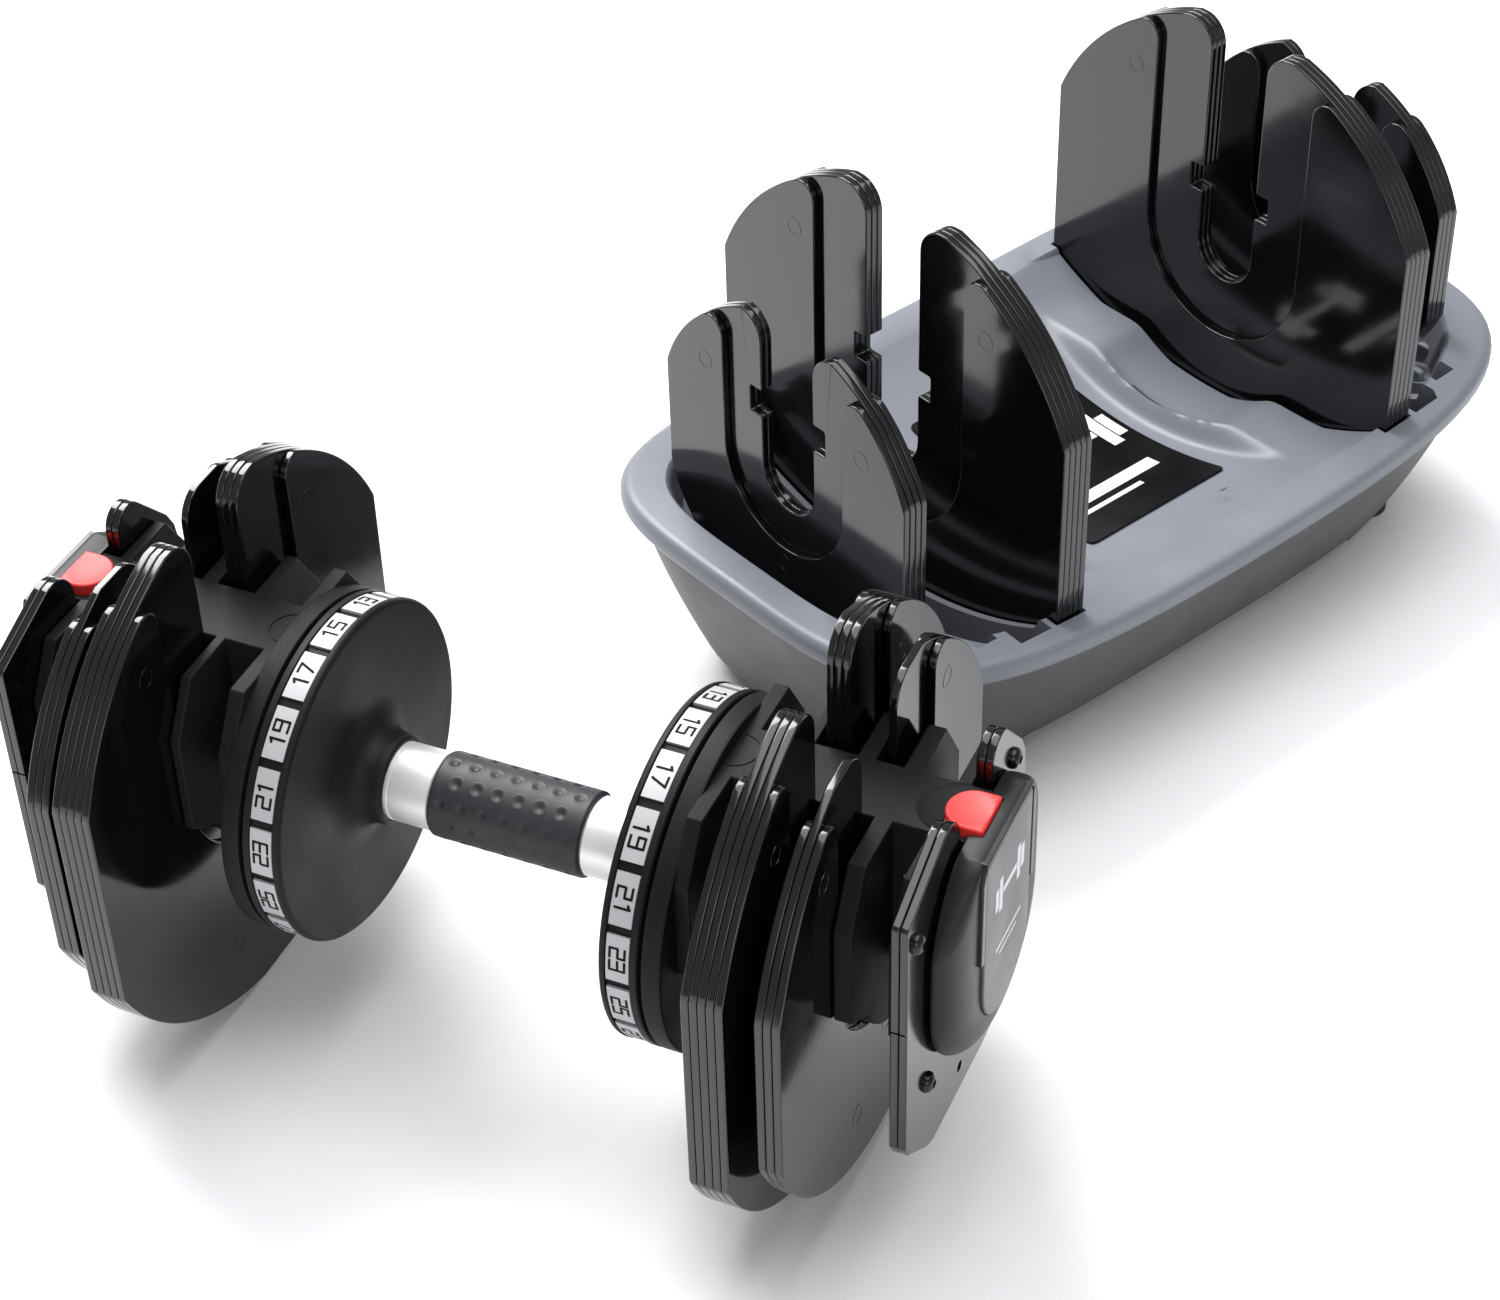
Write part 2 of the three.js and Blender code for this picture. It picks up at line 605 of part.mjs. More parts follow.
function cradle() {
  const group = new THREE.Group();
  group.add(piece("tray", tray(), TRAY_GREY));
  group.add(piece("base_shell", baseShell(), BASE_GREY));
  group.add(piece("label_plate", labelPlate(), MATTE_BLACK));
  SCREW_PLACES.forEach((at, i) => group.add(piece(`base_screw_${i + 1}`, baseScrew(at), SCREW_BLACK)));
  FOOT_PLACES.forEach(([x, y], i) => {
    group.add(piece(`foot_${i + 1}`, footPad(x, y), RUBBER));
  });
  for (const [side, turn] of [["right", 1], ["left", -1]]) {
    for (const n of [1, 4]) {
      const plate = piece(`plate_${n}_${side}`, roundPlate(PLATE[n]), GLOSS_BLACK);
      plate.position.z = CRADLE_AXIS;
      plate.scale.x = turn;
      group.add(plate);
    }
  }
  group.rotation.z = THREE.MathUtils.degToRad(CRADLE.yaw);
  group.position.set(CRADLE.x, CRADLE.y, 0);
  return group;
}

// ---- The set, moved so that the origin is under its middle ----
const group = new THREE.Group();
group.add(dumbbell(), cradle());
group.updateMatrixWorld(true);
const middle = new THREE.Box3().setFromObject(group, true).getCenter(new THREE.Vector3());
group.position.set(-middle.x, -middle.y, 0);

export default group;
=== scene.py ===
"""Looks of the adjustable dumbbell and its storage cradle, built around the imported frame."""

import json
from math import (acos, asin, atan2, copysign, cos, degrees, dist, exp, hypot, log, pi, radians, sin, sqrt,
                  tan)

import bmesh
import bpy
from mathutils import Matrix, Vector


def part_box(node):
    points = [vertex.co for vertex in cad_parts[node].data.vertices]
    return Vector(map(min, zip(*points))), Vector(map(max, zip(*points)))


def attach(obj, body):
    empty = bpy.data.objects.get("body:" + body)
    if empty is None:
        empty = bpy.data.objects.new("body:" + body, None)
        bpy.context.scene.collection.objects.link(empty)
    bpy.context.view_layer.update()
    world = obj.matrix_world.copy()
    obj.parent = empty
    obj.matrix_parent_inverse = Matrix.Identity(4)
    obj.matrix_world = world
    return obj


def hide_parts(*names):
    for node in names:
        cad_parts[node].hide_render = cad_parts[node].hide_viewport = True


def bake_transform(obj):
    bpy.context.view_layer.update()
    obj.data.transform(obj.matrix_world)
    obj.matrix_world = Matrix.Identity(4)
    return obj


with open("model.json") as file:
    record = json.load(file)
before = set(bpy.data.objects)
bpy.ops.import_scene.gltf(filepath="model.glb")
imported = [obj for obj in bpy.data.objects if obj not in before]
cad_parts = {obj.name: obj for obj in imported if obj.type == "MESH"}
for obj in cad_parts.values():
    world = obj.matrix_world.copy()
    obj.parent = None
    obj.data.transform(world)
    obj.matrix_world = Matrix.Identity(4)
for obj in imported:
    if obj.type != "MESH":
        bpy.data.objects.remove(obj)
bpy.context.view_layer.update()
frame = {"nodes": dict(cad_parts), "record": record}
MM = 0.001

# ---- Places ----
grip_low, grip_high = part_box("grip")
tray_low, tray_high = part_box("tray")
HANDLE = (grip_low + grip_high) / 2
TRAY = (tray_low + tray_high) / 2
YAW = radians(63.9)
DUMBBELL = Matrix.Translation(HANDLE) @ Matrix.Scale(MM, 4)
CRADLE = (Matrix.Translation((TRAY.x, TRAY.y, 0)) @ Matrix.Rotation(YAW, 4, "Z")
          @ Matrix.Scale(MM, 4))
FLIP = Matrix.Scale(-1, 4, (1, 0, 0))
SIDES = {"right": (1, Matrix.Identity(4)), "left": (-1, FLIP)}

# ---- Dimensions in millimetres, as in the CAD ----
# The dumbbell's are measured from the middle of its handle, with X along it towards the right end.
GAP = 0.4
TUBE_R, TUBE_HALF = 16, 71.5
GRIP_R, GRIP_HALF, GRIP_INNER = 17.4, 32.5, 15.4
DIAL_R, DIAL_INNER, DIAL_OUTER, BOSS_TIP = 70, 66.5, 82.5, 52
BAND_INNER, BAND_OUTER, BAND_DEPTH = 69.5, 79.5, 1.6

PLATE = {
    1: dict(inner=98, outer=114, radius=118, half=108.5, top=113.5, recess=47, sheets=5),
    2: dict(inner=119, outer=135, radius=118, half=108.5, top=113.5, recess=47, sheets=5),
    3: dict(inner=143, outer=153, radius=107.5, half=101, top=99, recess=47, sheets=3),
    4: dict(inner=161, outer=174, radius=82, half=77, top=77, recess=38, sheets=4),
    5: dict(inner=180.2, outer=186.8),
}
AXIS_HEIGHT = 116.5
SLOT_HALF, SLOT_CENTRE, SLOT_ROUND = 16.5, 2.5, 13
NOTCH_LOW, NOTCH_HIGH, NOTCH_DEPTH = 27, 40, 7.5
RECESS_CENTRE, RECESS_CORNER = 5, 8  # of the wide U in a plate's outer sheets
SHEET_GAP, SHEET_EDGE = 0.03, 0.62
RIVET = dict(radius=4.2, sunk=0.6, proud=0.12, wide=0.55, crest=0.40)

FAR_ARM, NEAR_ARM = (25.5, 72.5, 9), (-28.5, 69, 12)  # round tops of the end plate's arms
FIXED_SIDES = [(49, 60.5), (53, 53), (54, 47), (54, -47), (50.5, -55), (40, -62), (27, -67), (14, -68.5),
               (-38, -68.5), (-45, -65.5), (-54, -58.5), (-64, -50.5), (-67, -45), (-67, 66)]
NEAR_EDGE, NEAR_JOINT = -67, (14.6, 15.5)  # where the hairline joint crosses the end plate's near edge
SCREWS = [(-59, 54), (-46, -29), (39, 59)]
PIN_HOLE = (-11, -55.5)

FLANGE_INNER, FLANGE_OUTER, FLANGE_R = 84, 92, 70
HOUSING_OUTER, DECK, WEB_HALF = 187.8, 64, 14.5
TOOTH_TOP, TOOTH_HALF, TOOTH_SHOULDER, TOOTH_BELOW = 40, 54, 42, -2
SHAFT_ROOM_R = 8.8
ROOM_HALF = 3.4  # half the width of the rooms for a lock bar and for its cam
BAR_ROOM, CAM_ROOM = (-16, 16, 27.6, 39.4), (-10.9, 10.9, 5, 28)
CAP_INNER, CAP_OUTER = 188.2, 198.6
BUTTON = dict(inner=175.5, outer=193, half=10.5, low=57, high=66.5, travel=3.5)
BUTTON_ROOM_LOW = BUTTON["low"] - BUTTON["travel"] - GAP
SPRING = dict(x=182, low=44.4, high=BUTTON["low"] - GAP, radius=3.5, wire=0.5, turns=4.5, room=4.6)

CRADLE_AXIS = 135
RIM_HALF, RIM_TOP, RIM_SEAM, RIM_POWER = (208.6, 123.6), 88, 77, 4.2
LIFT = 14  # the rim is this much higher at its two ends
FOOT_HALF, FOOT_Z = (175.6, 87.6), 5
ARCH_HIGH = 14
ARCHES = [(110, 62, 0), (110, 62, 180), (60, 165, 90), (60, 165, -90)]  # half length, start, turn in degrees
TROUGH_R, TROUGH_LOW, TRAY_FLOOR = 211, 62, 48
SADDLE = dict(start=42, rise=24, low=50, high=77, far=94)
WELL = dict(inner=94, outer=160, radius=121.5)
SLIT = dict(inner=63.5, outer=66, half=19)
FINS = [(157, 78, 84), (178, 66, 82)]  # places along and across the cradle, and heights
LABEL_HALF_LONG, LABEL_OUTER, LABEL_INNER = 43, TROUGH_R - 0.3, TROUGH_R - 1.3
FOOT_PLACES = [(x, y) for x in (-146, 146) for y in (-64, 64)]
SCREW_PLACES = [(x, y) for x in (-60, 60) for y in (-45, 45)]


# ---- Outlines: lists of (y, z) ----
def arc(y, z, radius, start, end, steps):
    """Points on a circle about (y, z), from the start angle to the end angle in degrees."""
    out = []
    for i in range(steps + 1):
        t = radians(start + (end - start) * i / steps)
        out.append((y + radius * cos(t), z + radius * sin(t)))
    return out


def rectangle(y0, y1, z0, z1):
    return [(y0, z0), (y1, z0), (y1, z1), (y0, z1)]


def mirrored(half):
    """The right half of an outline, and its mirror image."""
    return half + [(-y, z) for y, z in reversed(half)]


def tidy(points):
    """Without repeated points, counter-clockwise."""
    kept = []
    for p in points:
        if not kept or dist(p, kept[-1]) > 1e-4:
            kept.append(p)
    if dist(kept[0], kept[-1]) < 1e-4:
        kept.pop()
    pairs = zip(kept, kept[1:] + kept[:1])
    area = sum(a[0] * b[1] - b[0] * a[1] for a, b in pairs)
    return kept if area > 0 else kept[::-1]


def soften(points, radius, steps=3, sharp=25):
    """Rounds each corner that turns by more than sharp degrees."""
    pts = tidy(points)
    out = []
    for i, p in enumerate(pts):
        a, b = Vector(pts[i - 1]), Vector(pts[(i + 1) % len(pts)])
        v = Vector(p)
        u, w = a - v, b - v
        turn = pi - u.angle(w)
        if degrees(turn) < sharp:
            out.append(p)
            continue
        reach = min(radius * tan(turn / 2), 0.45 * u.length, 0.45 * w.length)
        start, end = v + u.normalized() * reach, v + w.normalized() * reach
        for k in range(steps + 1):
            t = k / steps
            q = (1 - t) ** 2 * start + 2 * t * (1 - t) * v + t * t * end
            out.append((q.x, q.y))
    return tidy(out)


def inset(points, by):
    """A counter-clockwise outline, moved inwards."""
    out = []
    for i, p in enumerate(points):
        a, b = Vector(points[i - 1]), Vector(points[(i + 1) % len(points)])
        v = Vector(p)
        d1, d2 = (v - a).normalized(), (b - v).normalized()
        n1, n2 = Vector((d1.y, -d1.x)), Vector((d2.y, -d2.x))
        n = (n1 + n2) / max(0.4, 1 + n1.dot(n2))
        q = v - n * by
        out.append((q.x, q.y))
    return out


# ---- Solids: (vertices, faces) in millimetres ----
def outward(verts, faces):
    """The same solid, with its faces turned outwards."""
    volume = 0.0
    for f in faces:
        a = Vector(verts[f[0]])
        for i in range(1, len(f) - 1):
            volume += a.dot(Vector(verts[f[i]]).cross(Vector(verts[f[i + 1]])))
    return (verts, faces if volume > 0 else [tuple(reversed(f)) for f in faces])


def loft(sections):
    """Sections with equally many points, joined into a solid with flat ends."""
    n = len(sections[0])
    last = (len(sections) - 1) * n
    faces = []
    for s in range(len(sections) - 1):
        for i in range(n):
            a, b = s * n + i, s * n + (i + 1) % n
            faces.append((a, b, b + n, a + n))
    faces.append(tuple(range(n - 1, -1, -1)))
    faces.append(tuple(range(last, last + n)))
    return outward([v for s in sections for v in s], faces)


def ring_of(sections):
    """Sections with equally many points, each joined to the next and the last to the first."""
    n = len(sections[0])
    faces = []
    for s in range(len(sections)):
        here, there = s * n, (s + 1) % len(sections) * n
        for i in range(n):
            j = (i + 1) % n
            faces.append((here + i, here + j, there + j, there + i))
    return outward([v for s in sections for v in s], faces)


ROUND_STEPS = [(1 - sin(radians(a)), 1 - cos(radians(a))) for a in (0, 30, 60, 90)]


def prism(points, x0, x1, edge):
    """An outline extruded along X, with its rims rounded."""
    pts = tidy(points)
    rings = []
    for across, into in ROUND_STEPS[::-1]:
        rings.append((x0 + edge * across, edge * into))
    for across, into in ROUND_STEPS:
        rings.append((x1 - edge * across, edge * into))
    sections = [[(x, y, z) for y, z in inset(pts, by)] for x, by in rings]
    return loft(sections)


def turned(profile, steps):
    """A closed profile of (x, radius), turned about the X axis."""
    sections = []
    for i in range(steps):
        t = 2 * pi * i / steps
        sections.append([(x, -r * sin(t), r * cos(t)) for x, r in profile])
    return ring_of(sections)


def turned_up(profile, steps):
    """A closed profile of (z, radius), turned about the Z axis."""
    verts, faces = turned(profile, steps)
    return outward([(y, z, x) for x, y, z in verts], faces)


def upright(points, z0, z1, edge):
    """An outline of (x, y) extruded upwards, with its rims rounded."""
    verts, faces = prism(points, z0, z1, edge)
    return outward([(y, z, x) for x, y, z in verts], faces)


def post(x, y, z0, z1, radius, edge=0.3, steps=40):
    return upright([(x + p, y + q) for p, q in arc(0, 0, radius, 0, 360, steps)], z0, z1, edge)


def bar_x(x0, x1, radius, y=0.0, z=0.0, steps=40):
    """A round bar along X."""
    return loft([[(x, p, q) for p, q in arc(y, z, radius, 0, 360, steps)[:-1]] for x in (x0, x1)])


def box(x0, x1, y0, y1, z0, z1):
    return loft([[(x, y, z) for y, z in rectangle(y0, y1, z0, z1)] for x in (x0, x1)])


def ellipsoid(centre, size):
    """Size holds its three radii."""
    sections = []
    for i in range(25):
        t = pi * i / 24
        section = arc(0, 0, max(1e-4, sin(t)), 0, 360, 48)[:-1]
        sections.append([(centre[0] - size[0] * cos(t), centre[1] + size[1] * p, centre[2] + size[2] * q)
                         for p, q in section])
    return loft(sections)


def moved(geo, matrix):
    verts = [tuple(matrix @ Vector(v)) for v in geo[0]]
    return outward(verts, geo[1])


def merged(*parts):
    verts, faces = [], []
    for v, f in parts:
        n = len(verts)
        verts.extend(v)
        faces.extend(tuple(i + n for i in face) for face in f)
    return verts, faces


def mesh_of(geo, name="work"):
    mesh = bpy.data.meshes.new(name)
    mesh.from_pydata([tuple(v) for v in geo[0]], [], geo[1])
    mesh.validate()
    bm = bmesh.new()
    bm.from_mesh(mesh)
    bmesh.ops.remove_doubles(bm, verts=bm.verts, dist=1e-5)
    bmesh.ops.dissolve_degenerate(bm, edges=bm.edges, dist=1e-6)
    bm.to_mesh(mesh)
    bm.free()
    return mesh


def linked(name, shape):
    """A new object in the scene. Its shape is a mesh or (vertices, faces)."""
    obj = bpy.data.objects.new(name, shape if isinstance(shape, bpy.types.Mesh) else mesh_of(shape))
    bpy.context.scene.collection.objects.link(obj)
    return obj


def join(*shapes):
    """Steps for carve that add these shapes."""
    return [("UNION", shape) for shape in shapes]


def cut(*shapes):
    """Steps for carve that take these shapes away."""
    return [("DIFFERENCE", shape) for shape in shapes]


def carve(base, steps):
    """The base after steps of ("UNION", "DIFFERENCE" or "INTERSECT", shape), done in order."""
    obj = linked("carve_base", base)
    tools = []
    for operation, shape in steps:
        tools.append(linked("carve_tool", shape))
        modifier = obj.modifiers.new("carve", "BOOLEAN")
        modifier.operation, modifier.solver, modifier.object = operation, "MANIFOLD", tools[-1]
    bpy.context.view_layer.update()
    evaluated = obj.evaluated_get(bpy.context.evaluated_depsgraph_get())
    made = bpy.data.meshes.new_from_object(evaluated)
    for o in [obj, *tools]:
        bpy.data.objects.remove(o)
    return made


# ---- Materials ----
def noise(tree, scale, detail, stretch=None):
    coordinate = tree.nodes.new("ShaderNodeTexCoord")
    texture = tree.nodes.new("ShaderNodeTexNoise")
    texture.inputs["Scale"].default_value = scale
    texture.inputs["Detail"].default_value = detail
    vector = coordinate.outputs["Object"]
    if stretch:
        mapping = tree.nodes.new("ShaderNodeMapping")
        mapping.inputs["Scale"].default_value = stretch
        tree.links.new(vector, mapping.inputs["Vector"])
        vector = mapping.outputs["Vector"]
    tree.links.new(vector, texture.inputs["Vector"])
    return texture.outputs["Fac"]


def vary_color(tree, shader, fac, low, high):
    ramp = tree.nodes.new("ShaderNodeValToRGB")
    for element, position, color in zip(ramp.color_ramp.elements, (0.35, 0.65), (low, high)):
        element.position, element.color = position, (*color, 1)
    tree.links.new(fac, ramp.inputs["Fac"])
    tree.links.new(ramp.outputs["Color"], shader.inputs["Base Color"])


def vary_rough(tree, shader, fac, low, high):
    span = tree.nodes.new("ShaderNodeMapRange")
    for socket, value in (("From Min", 0.3), ("From Max", 0.7), ("To Min", low), ("To Max", high)):
        span.inputs[socket].default_value = value
    tree.links.new(fac, span.inputs["Value"])
    tree.links.new(span.outputs["Result"], shader.inputs["Roughness"])


def bump(tree, shader, fac, strength, distance):
    node = tree.nodes.new("ShaderNodeBump")
    node.inputs["Strength"].default_value = strength
    node.inputs["Distance"].default_value = distance
    tree.links.new(fac, node.inputs["Height"])
    tree.links.new(node.outputs["Normal"], shader.inputs["Normal"])


PATCH_SCALE, GLOSS_SCALE = 14, 32.2  # noise scales of the slow patches


def finish_of(name, base, rough, grain, bumps, spread=0.12, rough_spread=0.06, metallic=0.0, ior=1.5,
              stretch=None):
    """A moulded, painted or turned surface: slow patches of colour and gloss, and a fine grain.
    Grain is the scale of its noise, and bumps their strength and their distance in metres."""
    m = bpy.data.materials.new(name)
    m.use_nodes = True
    m.diffuse_color = (*base, 1)
    tree = m.node_tree
    shader = tree.nodes["Principled BSDF"]
    even = {"Base Color": (*base, 1), "Roughness": rough, "Metallic": metallic, "IOR": ior}
    for socket, value in even.items():
        shader.inputs[socket].default_value = value
    low = tuple(c * (1 - spread) for c in base)
    high = tuple(min(1.0, c * (1 + spread)) for c in base)
    vary_color(tree, shader, noise(tree, PATCH_SCALE, 3), low, high)
    vary_rough(tree, shader, noise(tree, GLOSS_SCALE, 4), rough - rough_spread, rough + rough_spread)
    bump(tree, shader, noise(tree, grain, 3, stretch), *bumps)
    return m


# name: base colour, roughness, scale of the grain, (strength, distance) of its bumps, and the rest
FINISHES = {
    "dial_plastic": ((0.010, 0.010, 0.011), 0.46, 1700, (0.32, 0.00022), dict(ior=1.24)),
    "housing_plastic": ((0.009, 0.009, 0.010), 0.52, 1500, (0.42, 0.00028), dict(ior=1.24)),
    "plate_gloss": ((0.003, 0.003, 0.0035), 0.11, 160, (0.03, 0.0006), dict(rough_spread=0.035, ior=1.58)),
    "screw_black": ((0.008, 0.008, 0.009), 0.17, 400, (0.05, 0.0003), dict(metallic=0.3)),
    "cap_plastic": ((0.012, 0.012, 0.0135), 0.42, 1500, (0.25, 0.0002), dict(ior=1.34)),
    "badge_plastic": ((0.050, 0.050, 0.054), 0.36, 1200, (0.15, 0.00015), {}),
    "bezel_plastic": ((0.008, 0.008, 0.009), 0.30, 1200, (0.15, 0.00015), {}),
    "button_red": ((0.80, 0.035, 0.033), 0.45, 1100, (0.10, 0.00015), dict(spread=0.04)),
    "tube_aluminium": ((0.84, 0.835, 0.82), 0.36, 1, (0.10, 0.00006),
                       dict(spread=0.03, metallic=0.55, stretch=(5200, 30, 30))),
    "grip_rubber": ((0.014, 0.015, 0.018), 0.52, 2200, (0.25, 0.0002), {}),
    "number_band": ((0.46, 0.465, 0.475), 0.42, 900, (0.05, 0.0001), dict(spread=0.03, metallic=0.15)),
    "print_black": ((0.006, 0.006, 0.007), 0.6, 900, (0.05, 0.0001), dict(ior=1.2)),
    "steel": ((0.42, 0.43, 0.44), 0.34, 1, (0.12, 0.00008), dict(metallic=1.0, stretch=(900, 60, 60))),
    "tray_plastic": ((0.160, 0.167, 0.195), 0.42, 700, (0.07, 0.0002), dict(spread=0.03)),
    "base_plastic": ((0.052, 0.050, 0.051), 0.50, 1300, (0.30, 0.00025), dict(spread=0.06)),
    "label_film": ((0.004, 0.004, 0.005), 0.26, 300, (0.03, 0.0002), dict(ior=1.3)),
    "print_white": ((0.60, 0.61, 0.63), 0.40, 700, (0.05, 0.0001), dict(spread=0.03)),
    "foot_rubber": ((0.012, 0.012, 0.013), 0.70, 1200, (0.30, 0.0003), {}),
}
MAT = {name: finish_of(name, *values, **rest) for name, (*values, rest) in FINISHES.items()}
SMOOTH_ANGLE = radians(38)
BEVEL_ANGLE = radians(40)


def add(name, shape, place, body, slot, nodes=(), material=None, bevel=0.0, weighted=True):
    """A finished piece."""
    obj = linked(name, shape)
    mesh = obj.data
    mesh.name = name
    mesh.transform(place)
    if place.determinant() < 0:
        mesh.flip_normals()
    mesh.materials.clear()
    mesh.materials.append(MAT[material or slot])
    mesh.polygons.foreach_set("use_smooth", [True] * len(mesh.polygons))
    mesh.set_sharp_from_angle(angle=SMOOTH_ANGLE)
    if bevel:
        rounding = obj.modifiers.new("rounding", "BEVEL")
        rounding.width, rounding.segments = bevel * MM, 2
        rounding.limit_method, rounding.angle_limit = "ANGLE", BEVEL_ANGLE
        rounding.use_clamp_overlap = True
        rounding.miter_outer = "MITER_ARC"
    if weighted:
        normals = obj.modifiers.new("normals", "WEIGHTED_NORMAL")
        normals.keep_sharp = True
    if isinstance(body, str):
        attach(obj, body)
    else:
        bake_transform(obj)
    if nodes:
        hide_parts(*nodes)


# ---- Plates ----
def plate_rim(p, top_angle):
    """The right half of a plate's outline, from the top angle down to the flat at the bottom."""
    side = degrees(acos(p["half"] / p["radius"]))
    flat = degrees(asin(min(1.0, AXIS_HEIGHT / p["radius"])))
    return arc(0, 0, p["radius"], top_angle, side, 26) + arc(0, 0, p["radius"], -side, -flat, 30)


def slot_sheet(p):
    half = arc(0, SLOT_CENTRE, SLOT_HALF, -90, 0, 16)
    deep = SLOT_HALF + NOTCH_DEPTH
    half += [(SLOT_HALF, NOTCH_LOW), (deep, NOTCH_LOW), (deep, NOTCH_HIGH), (SLOT_HALF, NOTCH_HIGH)]
    half += arc(SLOT_HALF + SLOT_ROUND, p["top"] - SLOT_ROUND, SLOT_ROUND, 180, 96, 10)
    half += plate_rim(p, degrees(asin(p["top"] / p["radius"])))
    return soften(mirrored(half), 1.2, 3, 30)


def recessed_sheet(p):
    """An outer sheet, with the wide U cut out of it and its two tops rounded."""
    y = p["recess"] + RECESS_CORNER
    z = sqrt((p["radius"] - RECESS_CORNER) ** 2 - y * y)
    top_angle = degrees(atan2(z, y))
    half = arc(0, RECESS_CENTRE, p["recess"], -90, 0, 26) + arc(y, z, RECESS_CORNER, 180, top_angle, 8)
    return tidy(mirrored(half + plate_rim(p, top_angle)))


def rivet_mark(y, z, x, out):
    """The ridge of a rivet head that shows through the coat, on a face at x that looks out along X."""
    radius, wide, crest = RIVET["radius"], RIVET["wide"], RIVET["crest"]
    profile = [(-RIVET["sunk"], radius - wide), (RIVET["proud"], radius - crest),
               (RIVET["proud"], radius + crest), (-RIVET["sunk"], radius + wide)]
    verts, faces = turned(profile, 36)
    return outward([(x + px * out, y + py, z + pz) for px, py, pz in verts], faces)


def stacked_plate(n):
    """The sheets of plate n with hairlines between them. Its outer two have the wide U."""
    p = PLATE[n]
    pitch = (p["outer"] - p["inner"]) / p["sheets"]
    full, wide = slot_sheet(p), recessed_sheet(p)
    parts = []
    for i in range(p["sheets"]):
        x = p["inner"] + i * pitch
        outline = wide if i in (0, p["sheets"] - 1) else full
        parts.append(prism(outline, x + SHEET_GAP, x + pitch - SHEET_GAP, SHEET_EDGE))
    r = p["radius"]
    beside, high = (12, 0.5) if n == 4 else (13, 0.66)
    arm = p["recess"] + beside
    low = (r * 0.28, -r * 0.72)
    for y, z in ((-arm, r * high), (arm, r * high), (-low[0], low[1]), low, (0, -r * 0.5)):
        parts.append(rivet_mark(y, z, p["outer"] - SHEET_GAP, 1))
        parts.append(rivet_mark(y, z, p["inner"] + SHEET_GAP, -1))
    return merged(*parts)


def end_plate_outline():
    """The fixed end plate: an arm at each side of the slot, flat sides and a flat bottom."""
    points = arc(0, SLOT_CENTRE, SLOT_HALF, -90, 0, 12) + arc(*FAR_ARM, 180, 45, 10) + FIXED_SIDES
    points += arc(*NEAR_ARM, 113, 0, 10) + arc(0, SLOT_CENTRE, SLOT_HALF, 180, 268, 12)
    return soften(points, 2.5, 4, 20)


def end_plate():
    """Two sheets, with a hairline joint across their near edge."""
    inner, outer = PLATE[5]["inner"], PLATE[5]["outer"]
    middle = (inner + outer) / 2
    outline = end_plate_outline()
    holes = [bar_x(inner - 1, outer + 1, 2.4, y, z, 24) for y, z in SCREWS + [PIN_HOLE]]
    joint = box(inner - 1, outer - 0.7, NEAR_EDGE - 1, NEAR_EDGE + 1.2, *NEAR_JOINT)
    sheets = [(inner, middle - SHEET_GAP), (middle + SHEET_GAP, outer)]
    return joined_mesh([carve(prism(outline, x0, x1, 0.6), cut(*holes, joint)) for x0, x1 in sheets])


def joined_mesh(meshes):
    bm = bmesh.new()
    for m in meshes:
        bm.from_mesh(m)
    out = bpy.data.meshes.new("joined")
    bm.to_mesh(out)
    bm.free()
    return out


def screw_shape(y, z):
    """A domed screw with a hexagonal socket."""
    inner, outer = PLATE[5]["inner"] - GAP, PLATE[5]["outer"]
    shank, seat, rim = 2, 3.6, 4.2
    profile = [(inner, 0.01), (inner, shank), (outer - 2.6, shank), (outer - 2.6, seat), (outer - 0.2, seat),
               (outer - 0.2, rim)]
    for a in (0, 15, 30, 45, 60, 75, 88):
        t = radians(a)
        profile.append((outer + 0.4 + 2.8 * sin(t), rim - 3.85 * (1 - cos(t))))
    profile.append((outer + 3.2, 0.01))
    socket = prism(arc(0, 0, 1.9, 0, 300, 5), outer + 1.0, outer + 6, 0.0)
    mesh = carve(turned(profile, 36), cut(socket))
    mesh.transform(Matrix.Translation((0, y, z)))
    return mesh


# ---- Handle, dials and numbers ----
BOSS_R, FLARE_R, FLARE_WIDE = 18, 18.6, 13.5  # the boss, and the flare that joins it to the disc
HUB_R, BORE_R, HUB_DEEP = 22, 9.4, 5


def dial_shape():
    """A disc with a flared boss round the tube, and a groove for the number band."""
    rim, boss = DIAL_R - BAND_DEPTH, BOSS_TIP + 1.2
    profile = [(BOSS_TIP, TUBE_R + GAP), (BOSS_TIP, BOSS_R - 0.8), (BOSS_TIP + 0.4, BOSS_R)]
    for i in range(13):
        t = i / 12
        x = boss + (DIAL_INNER - boss) * (1 - (1 - t) ** 2) ** 0.9
        profile.append((x, FLARE_R + FLARE_WIDE * t ** 1.9))
    face, back, r, hub = DIAL_INNER, DIAL_OUTER, DIAL_R, DIAL_OUTER - HUB_DEEP
    profile += [(face, r - 2.2), (face + 0.35, r - 1.0), (face + 1.1, r - 0.25), (face + 1.9, r),
                (BAND_INNER - 0.25, r), (BAND_INNER, r - 0.25), (BAND_INNER, rim), (BAND_OUTER, rim),
                (BAND_OUTER, r - 0.25), (BAND_OUTER + 0.25, r), (back - 0.5, r), (back, r - 0.5),
                (back, HUB_R), (hub, HUB_R), (hub, BORE_R), (TUBE_HALF + GAP, BORE_R),
                (TUBE_HALF + GAP, TUBE_R + GAP)]
    return turned(profile, 160)


WEIGHTS = [5, 7, 9, 11, 13, 15, 17, 19, 21, 23, 25, 27, 29, 31, 33, 36, 40]
STEP_DEG = 20
LABELS = 360 // STEP_DEG
TOP_SETTING = 5  # index of the setting that is at the top
LABEL_HALF = 8.4  # degrees
BAND_R = DIAL_R - 0.35


